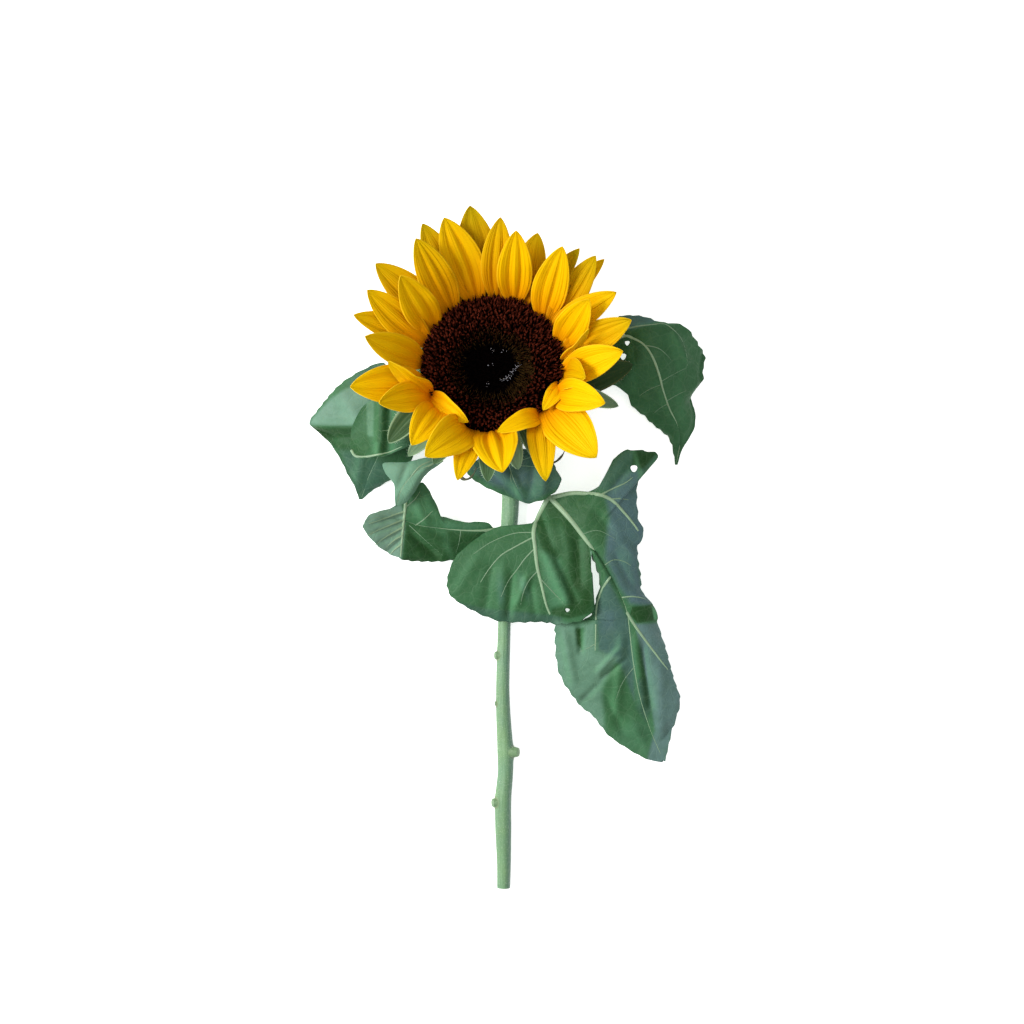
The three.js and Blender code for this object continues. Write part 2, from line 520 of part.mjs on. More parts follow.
// ---- Leaves ----
// A leaf is laid out by its midrib, from the foot of the blade to the tip, and by its two margins. Each
// margin point is [place along the midrib where its side vein springs, x, y, z of the underside].
// petiole lists the stalk from the stem: y and turn of its root on the stem, then points on the way.
const LEAVES = {
  leaf_large_right: {
    colour: 0x4a7d5c,
    rows: 46,
    columns: 6,
    teeth: 1.1,
    bow: 2.2,
    petiole: { y: 39, turn: 25, radius: 1.8, by: [[13, 34.5, 13]] },
    midrib: [[22, 29, 16], [31.6, 18.5, 20], [40, 7.6, 22.5], [49.5, -6, 22], [58, -20.9, 18.5],
      [61.6, -29.9, 16], [63.3, -42, 13], [65.5, -58, 9.5], [69, -75, 6], [75, -93, 2], [81.5, -108, 0]],
    margins: [
      [[0, 21.5, 28.4, 15.8], [0.025, 17, 20.5, 15.5], [0.05, 12.5, 15.1, 15.3], [0.08, 7, 13.6, 15],
        [0.12, -4, 13.6, 15], [0.13, -14, 8.8, 15.3], [0.14, -26.6, -2.1, 15], [0.15, -30.7, -15, 14.2],
        [0.158, -27.5, -22.8, 13.5], [0.168, -12.2, -31.7, 13], [0.176, 0, -35, 13.3],
        [0.184, 18, -34.8, 14.5], [0.19, 26.2, -36, 15.5], [0.198, 38, -34, 17],
        [0.205, 44.5, -27.5, 18], [0.212, 42.3, -20.5, 18.8], [0.22, 43, -13.5, 20],
        [0.235, 41.8, 1, 21.5], [0.255, 44, -2.6, 21.2], [0.3, 47.2, -10.5, 19.8],
        [0.34, 48, -16, 17.8], [0.39, 46, -23.5, 14.8], [0.44, 43.5, -32, 11.2],
        [0.47, 39.3, -34.6, 10], [0.48, 38.7, -37.2, 9.4], [0.488, 34.5, -36.4, 9], [0.5, 25.8, -35, 8.5],
        [0.54, 25.2, -47, 7.3], [0.6, 26.3, -58.4, 5.7], [0.66, 29.5, -66.8, 4.5], [0.73, 38, -78.8, 3],
        [0.79, 45, -84.5, 2], [0.86, 53.8, -95.7, 1], [0.95, 71, -106.5, 0], [1, 80.7, -109, 0]],
      [[0, 22.7, 30, 16.2], [0.03, 35.8, 31.2, 19], [0.055, 43.9, 32.3, 20], [0.1, 50.4, 37.5, 23],
        [0.155, 54.2, 47.7, 26.5], [0.168, 61, 52.7, 26.5], [0.178, 75, 51.6, 23.5],
        [0.183, 76.4, 49, 23], [0.192, 67.1, 37.7, 20.5], [0.198, 66, 30, 19.2], [0.206, 66.8, 18.5, 19],
        [0.215, 69.8, 10.3, 17.5], [0.225, 66.2, 2.1, 17], [0.27, 68.3, -11.7, 15.5],
        [0.31, 68.8, -19, 14.2], [0.37, 76.1, -28.4, 10.5], [0.43, 77.7, -36.8, 9],
        [0.52, 82, -50, 7.2], [0.62, 86.1, -64.7, 4.7], [0.69, 89.5, -74.5, 3.6],
        [0.75, 89, -81, 2.6], [0.84, 85.8, -92.5, 1], [1, 82.3, -108.7, 0]],
    ],
    holes: [[31, -28.6, 1.1], [64.5, 43.6, 1.8]],
  },
  leaf_upper_right: {
    colour: 0x3f7a48,
    rows: 24,
    columns: 6,
    teeth: 0.9,
    bow: 1.6,
    petiole: { y: 80, turn: -10, radius: 1.7, by: [[15, 91, 4.2], [35, 101, 5], [52, 108.5, 8.5]] },
    midrib: [[62, 112, 12.5], [70, 107.5, 15], [74.5, 101, 16], [78, 92, 15], [80.5, 83.5, 12],
      [84, 74.5, 8.5], [88, 67, 5], [90, 59, 2], [88, 46, 0]],
    margins: [
      [[0, 61, 111, 12], [0.04, 53, 108, 10], [0.12, 47, 99, 7], [0.22, 48, 90, 6], [0.32, 56, 87, 6],
        [0.4, 61.5, 83.5, 6], [0.48, 65.5, 76, 5.5], [0.56, 71, 72, 4.5], [0.64, 75.5, 67.5, 3.5],
        [0.72, 81, 63.5, 2.5], [0.8, 85, 59.5, 1.5], [0.9, 86.8, 51.5, 0.3], [1, 87.5, 46, 0]],
      [[0, 61.5, 114, 12.5], [0.01, 56, 117.5, 12], [0.03, 58, 122, 13], [0.06, 69, 121.8, 15],
        [0.12, 79, 118.5, 15],
        [0.2, 90, 117.5, 11], [0.28, 95, 113.5, 8], [0.35, 99.5, 107.5, 4], [0.42, 103, 102, 0],
        [0.5, 102, 95.5, 0], [0.56, 102, 90, 0], [0.62, 98.5, 86, 1], [0.68, 95.5, 80.5, 1.6],
        [0.75, 97.5, 75.5, 1], [0.83, 98, 67, 0.6], [0.89, 95.5, 61, 0.3], [0.95, 91, 53.5, 0],
        [1, 88.8, 46, 0]],
    ],
    holes: [[61.9, 108.2, 1.2], [59.8, 101.4, 1.6]],
  },
  leaf_back_left: {
    colour: 0x5b8068,
    rows: 18,
    columns: 6,
    teeth: 0.6,
    bow: 1.2,
    petiole: { y: 80, turn: 190, radius: 1.7, by: [[-30, 80, 5.5], [-44, 79, 9.5]] },
    midrib: [[-54, 76, 14], [-58, 68, 14.5], [-62, 59, 12], [-67, 49, 8], [-72, 39, 3.5], [-76, 28, 0]],
    margins: [
      [[0, -55, 77.5, 14], [0.05, -58, 88, 16], [0.12, -64, 98, 16], [0.22, -82, 90, 11.5],
        [0.3, -91.5, 82, 6.5], [0.38, -98, 74.5, 2], [0.46, -103, 68, 0], [0.54, -100, 64.5, 0],
        [0.62, -92, 57, 0.3], [0.7, -86, 47.5, 0.6], [0.8, -83, 41, 0.6], [0.9, -79.5, 35, 0.3],
        [1, -77, 28, 0]],
      [[0, -53, 75, 14], [0.1, -47, 66, 12], [0.25, -47, 56, 9.5], [0.4, -50, 48, 7.5],
        [0.55, -55, 42, 5], [0.7, -61.5, 38, 3.5], [0.85, -69, 33.5, 1.5], [1, -75.5, 28, 0]],
    ],
    holes: [],
  },
  leaf_curled_left: {
    colour: 0x5f8f45,
    rows: 10,
    columns: 4,
    teeth: 0,
    bow: -1.5,
    petiole: { y: 71, turn: 180, radius: 1.3, by: [[-28, 67, 19]] },
    midrib: [[-44, 64, 27.5], [-52, 63.5, 26], [-61, 63, 22.5], [-71, 61, 19], [-80, 57.5, 16]],
    margins: [
      [[0, -44, 65.5, 27.5], [0.12, -48, 73, 27], [0.3, -57, 79, 24], [0.5, -66, 80, 20.5],
        [0.7, -74, 75, 18], [0.88, -79, 66, 16.5], [1, -80.5, 59, 16]],
      [[0, -44, 62.5, 27.5], [0.12, -48, 56, 28], [0.28, -56, 52, 27.5], [0.42, -62.5, 49.5, 26.5],
        [0.58, -68, 50, 24.5], [0.75, -74, 48.5, 23], [0.9, -78.5, 51, 20], [1, -80.5, 56, 16.5]],
    ],
    holes: [],
  },
  leaf_folded_left: {
    colour: 0x9db89a,
    rows: 10,
    columns: 4,
    teeth: 0.3,
    bow: 0.8,
    petiole: { y: 64, turn: 180, radius: 1.3, by: [[-20, 58, 16]] },
    midrib: [[-33, 48.5, 24.5], [-38.5, 45.5, 26.5], [-45, 42, 27.5], [-51, 36.5, 26.5], [-54.5, 30.5, 25],
      [-56, 25, 23.5]],
    margins: [
      [[0, -33.7, 49.8, 24.5], [0.15, -41.4, 48.7, 26.5], [0.3, -51.2, 46.4, 26.5],
        [0.42, -62.5, 46, 26], [0.52, -61.5, 41.5, 26], [0.7, -57, 35.5, 25.5], [0.9, -56.8, 28, 24.5],
        [1, -56.7, 24.3, 23.5]],
      [[0, -32.3, 47, 24.5], [0.2, -39.5, 42.5, 24.5], [0.4, -43.5, 38, 23.5], [0.6, -48, 30.5, 22.5],
        [0.8, -51.5, 26.5, 22.5], [1, -55.3, 24.5, 23.5]],
    ],
    holes: [],
  },
  leaf_lower_left: {
    colour: 0x4e8060,
    rows: 22,
    columns: 6,
    teeth: 0.6,
    bow: 1.4,
    petiole: { y: 12, turn: 160, radius: 1.6, by: [] },
    midrib: [[-7.5, 12, 7.5], [-18, 12, 10.5], [-32, 13, 13.5], [-45, 14.5, 15.5], [-52.5, 17, 17],
      [-60, 18.5, 21], [-66.5, 18.5, 25.5], [-72.5, 15.5, 27.5]],
    margins: [
      [[0, -7.5, 13.5, 7.6], [0.05, -11, 16, 9], [0.16, -22, 16, 11], [0.27, -30.5, 18, 13],
        [0.33, -35, 19.5, 13.6], [0.37, -36, 24, 14], [0.42, -38.6, 29, 14.5], [0.47, -41.2, 34.2, 15],
        [0.5, -44.4, 36.5, 15], [0.57, -50, 33, 15.5],
        [0.64, -54, 28, 17], [0.7, -57.5, 24, 19], [0.79, -63.5, 22, 23], [0.9, -69.5, 20, 26.5],
        [1, -72, 17, 28]],
      [[0, -7.5, 10.5, 7.3], [0.06, -11, 3, 7], [0.18, -21, -2, 7.5], [0.28, -27, -3, 8.5],
        [0.38, -36, -4, 9.5], [0.48, -49, -3.5, 12.5], [0.56, -54, -2.5, 16], [0.66, -61.5, 1, 20],
        [0.78, -67, 5.5, 24.5], [0.9, -71.5, 11, 27], [1, -73.2, 14.3, 28]],
    ],
    holes: [],
  },
  leaf_under_head: {
    colour: 0x47734f,
    rows: 14,
    columns: 6,
    teeth: 0.7,
    bow: 1.2,
    petiole: { y: 62, turn: 90, radius: 1.3, by: [[-2.6, 59, 16]] },
    midrib: [[-1.5, 54, 21.5], [0.5, 47, 23.5], [3, 39, 22.5], [6.5, 32, 19.5], [10.5, 26, 15.5]],
    margins: [
      [[0, -3, 53.5, 21.5], [0.1, -10, 50.5, 22.5], [0.2, -17, 46.5, 23.5], [0.3, -20, 43.5, 23.5],
        [0.42, -18.5, 39.5, 22.5], [0.55, -11, 34.5, 20.5], [0.7, -3, 31, 18.5], [0.85, 4, 28.5, 16.5],
        [1, 9.6, 26.2, 15.5]],
      [[0, 0, 54.5, 21.5], [0.1, 10, 53, 24], [0.22, 20, 50, 26.5], [0.34, 25, 43, 26.5],
        [0.46, 27.5, 37, 26], [0.58, 24.5, 32, 24.5], [0.72, 19, 28, 22.5], [0.86, 14.5, 27, 19],
        [1, 11.6, 26, 15.7]],
    ],
    holes: [],
  },
};

const STALK_LEAD = 2; // straight length where a leaf stalk leaves the stem
const STALK_REACH = 0.6; // how far a stalk runs under the first stretch of its midrib
const STALK_TAPER = 0.5;
const STALK_GRID = { step: 4, sides: 6 };
const DRILL = { length: 80, sides: 7 }; // of the holes in the blades

const vector = ([x, y, z]) => new THREE.Vector3(x, y, z);

// The margin as a function of the place along the midrib.
function marginAt(rows, curve, place) {
  const next = Math.max(1, rows.findIndex((row) => row[0] >= place - 1e-9));
  const share = (place - rows[next - 1][0]) / (rows[next][0] - rows[next - 1][0]);
  return curve.getPoint((next - 1 + share) / (rows.length - 1));
}

// From one row of a blade to the next, the midrib and both margins together grow by the same length.
// Gives the place along the midrib for the share of rows done.
function placeOfRow(leaf, midrib, curves) {
  const linesAt = (place) => [
    midrib.getPointAt(place),
    ...curves.map((curve, side) => marginAt(leaf.margins[side], curve, place)),
  ];
  const walked = [0];
  let before = linesAt(0);
  for (let k = 1; k <= PLACES; k += 1) {
    const now = linesAt(k / PLACES);
    walked.push(walked[k - 1] + now.reduce((sum, point, i) => sum + point.distanceTo(before[i]), 0));
    before = now;
  }
  return (u) => {
    const goal = u * walked[PLACES];
    const k = Math.min(PLACES, Math.max(1, walked.findIndex((length) => length >= goal)));
    return (k - 1 + (goal - walked[k - 1]) / (walked[k] - walked[k - 1])) / PLACES;
  };
}

// Low places have sunk until they lie flat on the surface.
function settledHeight(z) {
  return z > 2 * SETTLE ? z : Math.max(0, 2 * (z - SETTLE));
}

// The underside runs straight from the midrib to the margin and bows between them. Teeth are every
// second row of the margin pushed outward. Where the leaf meets the surface it lies flat on it.
function leafUnderside(leaf) {
  const midrib = new THREE.CatmullRomCurve3(leaf.midrib.map(vector), false, 'centripetal');
  const curves = leaf.margins.map((rows) => (
    new THREE.CatmullRomCurve3(rows.map((row) => vector(row.slice(1))), false, 'catmullrom', 0.4)));
  const placeOf = placeOfRow(leaf, midrib, curves);
  const pointAt = (u, v) => {
    const place = Math.min(1, placeOf(u));
    const side = v < 0 ? 0 : 1;
    const rib = midrib.getPointAt(place);
    const edge = marginAt(leaf.margins[side], curves[side], place);
    const out = edge.clone().sub(rib).setZ(0).normalize();
    const tooth = Math.round(u * leaf.rows) % 2 ? leaf.teeth : 0;
    edge.addScaledVector(out, tooth * Math.sin(Math.PI * u) ** 0.5);
    const point = rib.clone().lerp(edge, Math.abs(v));
    point.z += 4 * leaf.bow * Math.abs(v) * (1 - Math.abs(v)) * Math.sin(Math.PI * u);
    point.z = settledHeight(point.z);
    return point;
  };
  return (u, v) => {
    const point = pointAt(u, v);
    const rib = v === 0 ? Math.min(point.z, RIB_DEPTH * (1 - u)) : 0;
    point.z -= rib;
    return { point, step: new THREE.Vector3(0, 0, LEAF_THICKNESS + rib) };
  };
}

// The stalk from the stem to the foot of the blade, sunk into the start of the midrib.
function petioleGeometry(leaf) {
  const { y, turn, radius, by } = leaf.petiole;
  const centre = stemCentre(y);
  const out = stemDirection(turn);
  const root = centre.clone().addScaledVector(out, stemRadius(y) + SEAT);
  const knee = root.clone().addScaledVector(out, STALK_LEAD);
  const foot = leaf.midrib.slice(0, 2).map(vector);
  foot[1].lerpVectors(foot[0], foot[1], STALK_REACH);
  const curve = new THREE.CatmullRomCurve3([root, knee, ...by.map(vector), ...foot], false, 'centripetal');
  const steps = Math.ceil(curve.getLength() / STALK_GRID.step);
  return stalkGeometry(curve, (t) => radius * (1 - STALK_TAPER * t), steps, STALK_GRID.sides);
}

function buildLeaf([name, leaf]) {
  const blade = solidFrom(bladeGeometry(leafUnderside(leaf), leaf.rows, leaf.columns));
  const stalk = solidFrom(petioleGeometry(leaf));
  const whole = leaf.holes.reduce((solid, [x, y, radius]) => {
    const drill = new THREE.CylinderGeometry(radius, radius, DRILL.length, DRILL.sides).rotateX(Math.PI / 2);
    return solid.subtract(solidFrom(drill.translate(x, y, 0)));
  }, join([blade, stalk]));
  return meshFrom(name, whole, leaf.colour, 0.65);
}

// ---- The whole flower ----
const sunflower = new THREE.Group();
sunflower.add(buildStem());
sunflower.add(buildBractCup());
sunflower.add(buildRayPetals());
sunflower.add(buildDisc());
Object.entries(LEAVES).forEach((entry) => sunflower.add(buildLeaf(entry)));

export default sunflower;
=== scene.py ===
"""A cut sunflower that lies face up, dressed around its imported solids.

Lengths in the tables are millimetres in the solids' frame, and become metres where a mesh is made.
The head's own frame has x to the right, y away from the stem and z along the axis of the head.
"""

import bpy
import numpy as np
from bpy.props import FloatProperty, FloatVectorProperty, IntProperty, PointerProperty
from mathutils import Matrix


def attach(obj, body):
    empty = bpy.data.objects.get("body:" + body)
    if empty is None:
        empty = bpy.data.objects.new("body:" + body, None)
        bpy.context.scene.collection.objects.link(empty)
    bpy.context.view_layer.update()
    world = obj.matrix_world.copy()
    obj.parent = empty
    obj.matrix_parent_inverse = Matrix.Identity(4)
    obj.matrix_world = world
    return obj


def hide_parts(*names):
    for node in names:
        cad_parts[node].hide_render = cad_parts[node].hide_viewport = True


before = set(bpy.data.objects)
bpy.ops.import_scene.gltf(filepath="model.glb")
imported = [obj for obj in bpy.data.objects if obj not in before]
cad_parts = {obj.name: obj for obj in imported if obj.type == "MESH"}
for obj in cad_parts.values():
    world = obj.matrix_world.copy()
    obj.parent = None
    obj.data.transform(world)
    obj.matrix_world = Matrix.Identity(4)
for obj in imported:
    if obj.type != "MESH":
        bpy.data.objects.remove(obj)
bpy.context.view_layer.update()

bl_info = {
    "name": "Cut Sunflower",
    "version": (1, 0, 0),
    "blender": (4, 5, 0),
    "location": "3D View > Sidebar > Sunflower",
    "description": "Builds the petals, florets, bracts, stem and leaves of a cut sunflower",
    "category": "Add Mesh",
}

MM = 0.001
BODY = "root"

# ---- Driving dimensions, the same as those of the solids ----
HEAD_CENTRE = np.array([-7.0, 95.0, 34.0])
HEAD_TILT = np.radians(15)
DISC_RADIUS = 34.3
DISC_HEIGHT = 7.0
CUP_RADIUS = 37.0
CUP_DEPTH = 16.0
PETAL_LENGTH = 46.0
PETAL_WIDTH = 17.0
PETAL_ROOT_RADIUS = 35.4
PETAL_ROOT_HEIGHT = {"front": 2.1, "back": 1.0}
NECK_RADIUS = 4.9
NECK_BEND = 16.5
NECK_LEAD = 1.2
SEAT = 0.3
SETTLE = 1.6


def table(columns, *rows):
    """A record for each row, by the names of the columns."""
    return [dict(zip(columns.split(), row)) for row in rows]


# bearing and reach place a petal's tip in plan from the hub. foot is the bearing of its root, fold the
# depth of its grooves in half-widths and shade how much painted shade it gets. Angles are degrees.
PETAL_HUB = np.array([-7.0, 93.2])
RAY_PETALS = table(
    "bearing reach ring length width foot turn curl cup fold shade",
    (5.8, 64, "front", 42, 17, 351, 0, 24, 0.22, 0.1, 0.02),
    (18, 71.5, "back", PETAL_LENGTH, PETAL_WIDTH, 9, 0, 24, 0.22, 0.1, 0.5),
    (21, 50.5, "front", 32, 9, 360, 65, 24, 0.22, 0.1, 0.1),
    (30.5, 70.5, "back", PETAL_LENGTH, 15, 30.5, 0, 24, 0.22, 0.1, 0.2),
    (34, 57, "front", 40, 16.5, 18, 0, 24, 0.22, 0.05, 0),
    (44, 77, "back", PETAL_LENGTH, 11, 44, 0, 24, 0.22, 0.1, 0.1),
    (47, 74.5, "front", PETAL_LENGTH, 15, 36, 0, 24, 0.08, 0.1, 0.6),
    (53.5, 72, "back", PETAL_LENGTH, 12, 53.5, 0, 24, 0.22, 0.1, 0.95),
    (59.5, 67.5, "front", PETAL_LENGTH, 18, 44, 0, 24, 0.22, 0.1, 0.05),
    (71.5, 70.5, "back", 40, 17, 66, 0, 24, 0.22, 0.05, 0.75),
    (80, 67, "front", PETAL_LENGTH, 18, 72, 0, 24, 0.22, 0.12, 0),
    (87, 74, "back", PETAL_LENGTH, 16, 87, 0, 24, 0.22, 0.14, 0.5),
    (98, 81, "back", 50, 21, 98, 0, 24, 0.22, 0.1, 0.9),
    (108, 77.5, "front", 48, 21, 104, 0, 24, 0.22, 0.16, 0.3),
    (116, 79.5, "back", 48, PETAL_WIDTH, 116, 0, 24, 0.22, 0.1, 0.85),
    (121, 73, "front", 47, 18, 126, 0, 24, 0.22, 0.14, 0.5),
    (136, 62, "front", PETAL_LENGTH, 18, 148, 0, 24, 0.22, 0.12, 0.12),
    (138.5, 77.5, "back", PETAL_LENGTH, 18, 138.5, 0, 24, 0.22, 0.1, 0.65),
    (149, 71.5, "front", PETAL_LENGTH, 17, 160, 0, 24, 0.22, 0.1, 0.3),
    (160, 72.5, "back", PETAL_LENGTH, 14, 160, 0, 24, 0.22, 0.1, 0.4),
    (168, 63, "front", PETAL_LENGTH, 16, 178, 0, 24, 0.22, 0.1, 0.1),
    (178, 50.5, "front", 38, 13, 208, -55, 24, 0.22, 0.1, 0.1),
    (189, 70, "back", PETAL_LENGTH, 20, 198, 0, 24, 0.22, 0.1, 0),
    (199.5, 58, "front", 42, 16, 207, 0, 24, 0.22, 0.1, 0.05),
    (225.5, 55.5, "front", 40, PETAL_WIDTH, 220, 0, 60, 0.22, 0.1, 0.1),
    (234.5, 55.5, "front", 44, 20, 248, 0, 70, 0.22, 0.06, 0.2),
    (247, 30, "front", 30, 11, 208, 35, 60, 0.22, 0.1, 0.15),
    (253.5, 59, "back", 42, 13, 253.5, 0, 50, 0.22, 0.1, 0.2),
    (275.5, 53, "front", 39, 23, 269, 0, 60, 0.22, 0.2, 0.2),
    (274, 33, "front", 32, 11, 311, 25, 80, 0.22, 0.04, 0),
    (294.5, 62.5, "back", 44, 14, 310, 0, 50, 0.22, 0.1, 0.4),
    (318, 68, "front", 46, 23, 321, 0, 45, 0.22, 0.05, 0.15),
    (319, 33, "front", 22, 9, 343, 20, 70, 0.22, 0.1, 0.1),
    (340.5, 58, "front", 42, 17, 333, 0, 50, 0.22, 0.1, 0),
    (352, 46, "back", 30, PETAL_WIDTH, 352, 0, 24, 0.22, 0.1, 0.4),
)

BRACT_ROWS = table(
    "count radius height length width rise droop first",
    (13, 34, -2.7, 21, 12, -8, 0, 8), (12, 31.5, -5, 25, 13, -20, 26, 30), (8, 26, -9, 17, 12, -34, 8, 15),
)
LONG_BRACTS = {342: 33, 226: 29, 268: 20}
# tone is how much painted shade a loose bract gets
LOOSE_BRACTS = table(
    "bearing heading radius height length width rise cup turn tone",
    (338, 20, 33, -5.4, 44, 19, -10, 0.2, 12, 1.0),
    (207, 225, 33, -5.6, 33, 19, 4, 0.5, 24, 0.6),
    (322, 344, 34, -5, 22, 14, -6, 0.3, 0, 0.3),
)
# Dried tips of bracts: routes of thin curled threads.
DRY_TIPS = [
    [[20.5, 48.5, 27], [22.3, 46.2, 27.5], [24.9, 47, 28], [26.9, 48.7, 28], [28.6, 51, 28], [30, 55, 28]],
    [[-23.5, 39.5, 26], [-22.2, 38.2, 26.5], [-19.7, 38.1, 27], [-17, 40.4, 27.5], [-15.5, 44, 28]],
]

DISC_PROFILE = [
    [0, 2.5], [3, 2.6], [6, 2.7], [9, 3], [12, 3.5], [15, 4.3], [18, 5.1], [21, 5.9], [24, 6.5], [27, 6.9],
    [29.6, DISC_HEIGHT], [32.4, 6.2], [DISC_RADIUS, 3.4],
]

# Rings of a floret from its foot up: its radius, its height and how near its colour is to the tip's, each
# with what every other corner adds.
STAR_RINGS = np.array([
    [0.3, 0, 0, 0, 0, 0], [0.34, 0, 0.5, 0, 0.25, 0], [0.4, 0.28, 0.66, 0.06, 0.7, 0.3],
    [0.2, 0, 0.6, 0, 0.3, 0], [0.17, 0, 0.86, 0, 0.8, 0], [0.02, 0, 1, 0, 1, 0],
])
BUD_RINGS = np.array([
    [0.5, 0, 0, 0, 0, 0], [0.72, 0, 0.35, 0, 0.15, 0], [0.62, 0, 0.62, 0, 0.5, 0],
    [0.3, 0, 0.86, 0, 0.9, 0], [0.03, 0, 1, 0, 1, 0],
])

# The bowl under the florets, its collar and closing wall, and the distances from the dark middle where
# the florets are open, closed and darkest.
BOWL_RINGS = 60
BOWL_SIDES = 160
COLLAR_RADII = [35.8, 36.6, 37.2, 0.01]
COLLAR_HEIGHTS = [2.4, 2.0, 0.5, 0.5]
OPEN_BORDER = 21.5
CENTRE_BORDER = 16
TONE_BORDER = (27, 15)
SCALE_GRID = (5, 2)

# The dark middle of the disc, the bearing where its threads crowd, the arc of pale specks in it and the
# loose specks, in the head's plane.
EYE = (-0.4, -3.5)
THREAD_SIDE = np.radians(-12)
SPECK_ARC = [[14, -0.9], [10, -4.3], [8.7, -7.2], [4, -9.2]]
LOOSE_SPECKS = [[6.3, 5.9], [-1, 6.5], [-0.7, -1.4], [-2.5, -11.8]]

# Camera, lights and floor: places and sizes in metres, sensor and lens in millimetres. A light has its
# power's key, its place and its size.
CAMERA_PLACE = (0.0026, 0.0214)
SENSOR_WIDTH = 36.0
LENS = 67.5
CLIP_START = 0.05
LIGHTS = {"Key": ("key_power", (-1.0, 0.15, 0.95), 0.6), "Overhead": ("fill_power", (0.15, 0.1, 1.5), 1.2)}
FLOOR_HALF = 2.5
FLOOR_DROP = 0.00005

# Numbers of hairs on the stem and, for each bract, at its edge and on its faces; of threads, and of specks
# on the arc and round each loose place.
STEM_HAIRS = 3600
EDGE_HAIRS = 70
FACE_HAIRS = 40
HAIR_RADIUS = 0.03
THREADS = 620
ARC_SPECKS = 70
SPECKS_EACH = 4

LYING_STEM = [
    [-3.6, 60, 4.8], [0.4, 49, 4.7], [1.8, 38, 4.6], [1.6, 22, 4.5], [0, -6, 3.8], [-1.4, -38, 3.3],
    [-2.2, -69, 3.5], [-1.8, -86, 3.8], [-0.9, -103, 4.2], [-0.8, -114, 4.0], [-2, -128, 4.3],
    [-2, -143, 4.2], [-1.6, -162, 3.6], [-1.8, -173.6, 3.4],
]
STEM_GRID = (520, 48)
CAP_RINGS = 8

# A stub on the stem: shares of its reach, with its girth there, and how brown it is.
STUB_SIDES = 24
STUB_BROWN = 0.12
STUB_PROFILE = np.array([
    [0.3, 0.6, 0.8, 0.9, 0.96, 0.99, 1.0, 0.985, 0.97], [1.3, 1.15, 0.98, 0.93, 0.9, 0.82, 0.6, 0.3, 0.01],
])
LEAF_SCARS = table(
    "y turn length radius",
    (-53, 165, 1.2, 2.2), (-78, 170, 0.7, 1.3), (-103, 20, 3.2, 2.6), (-129, 160, 1.6, 2.4),
)
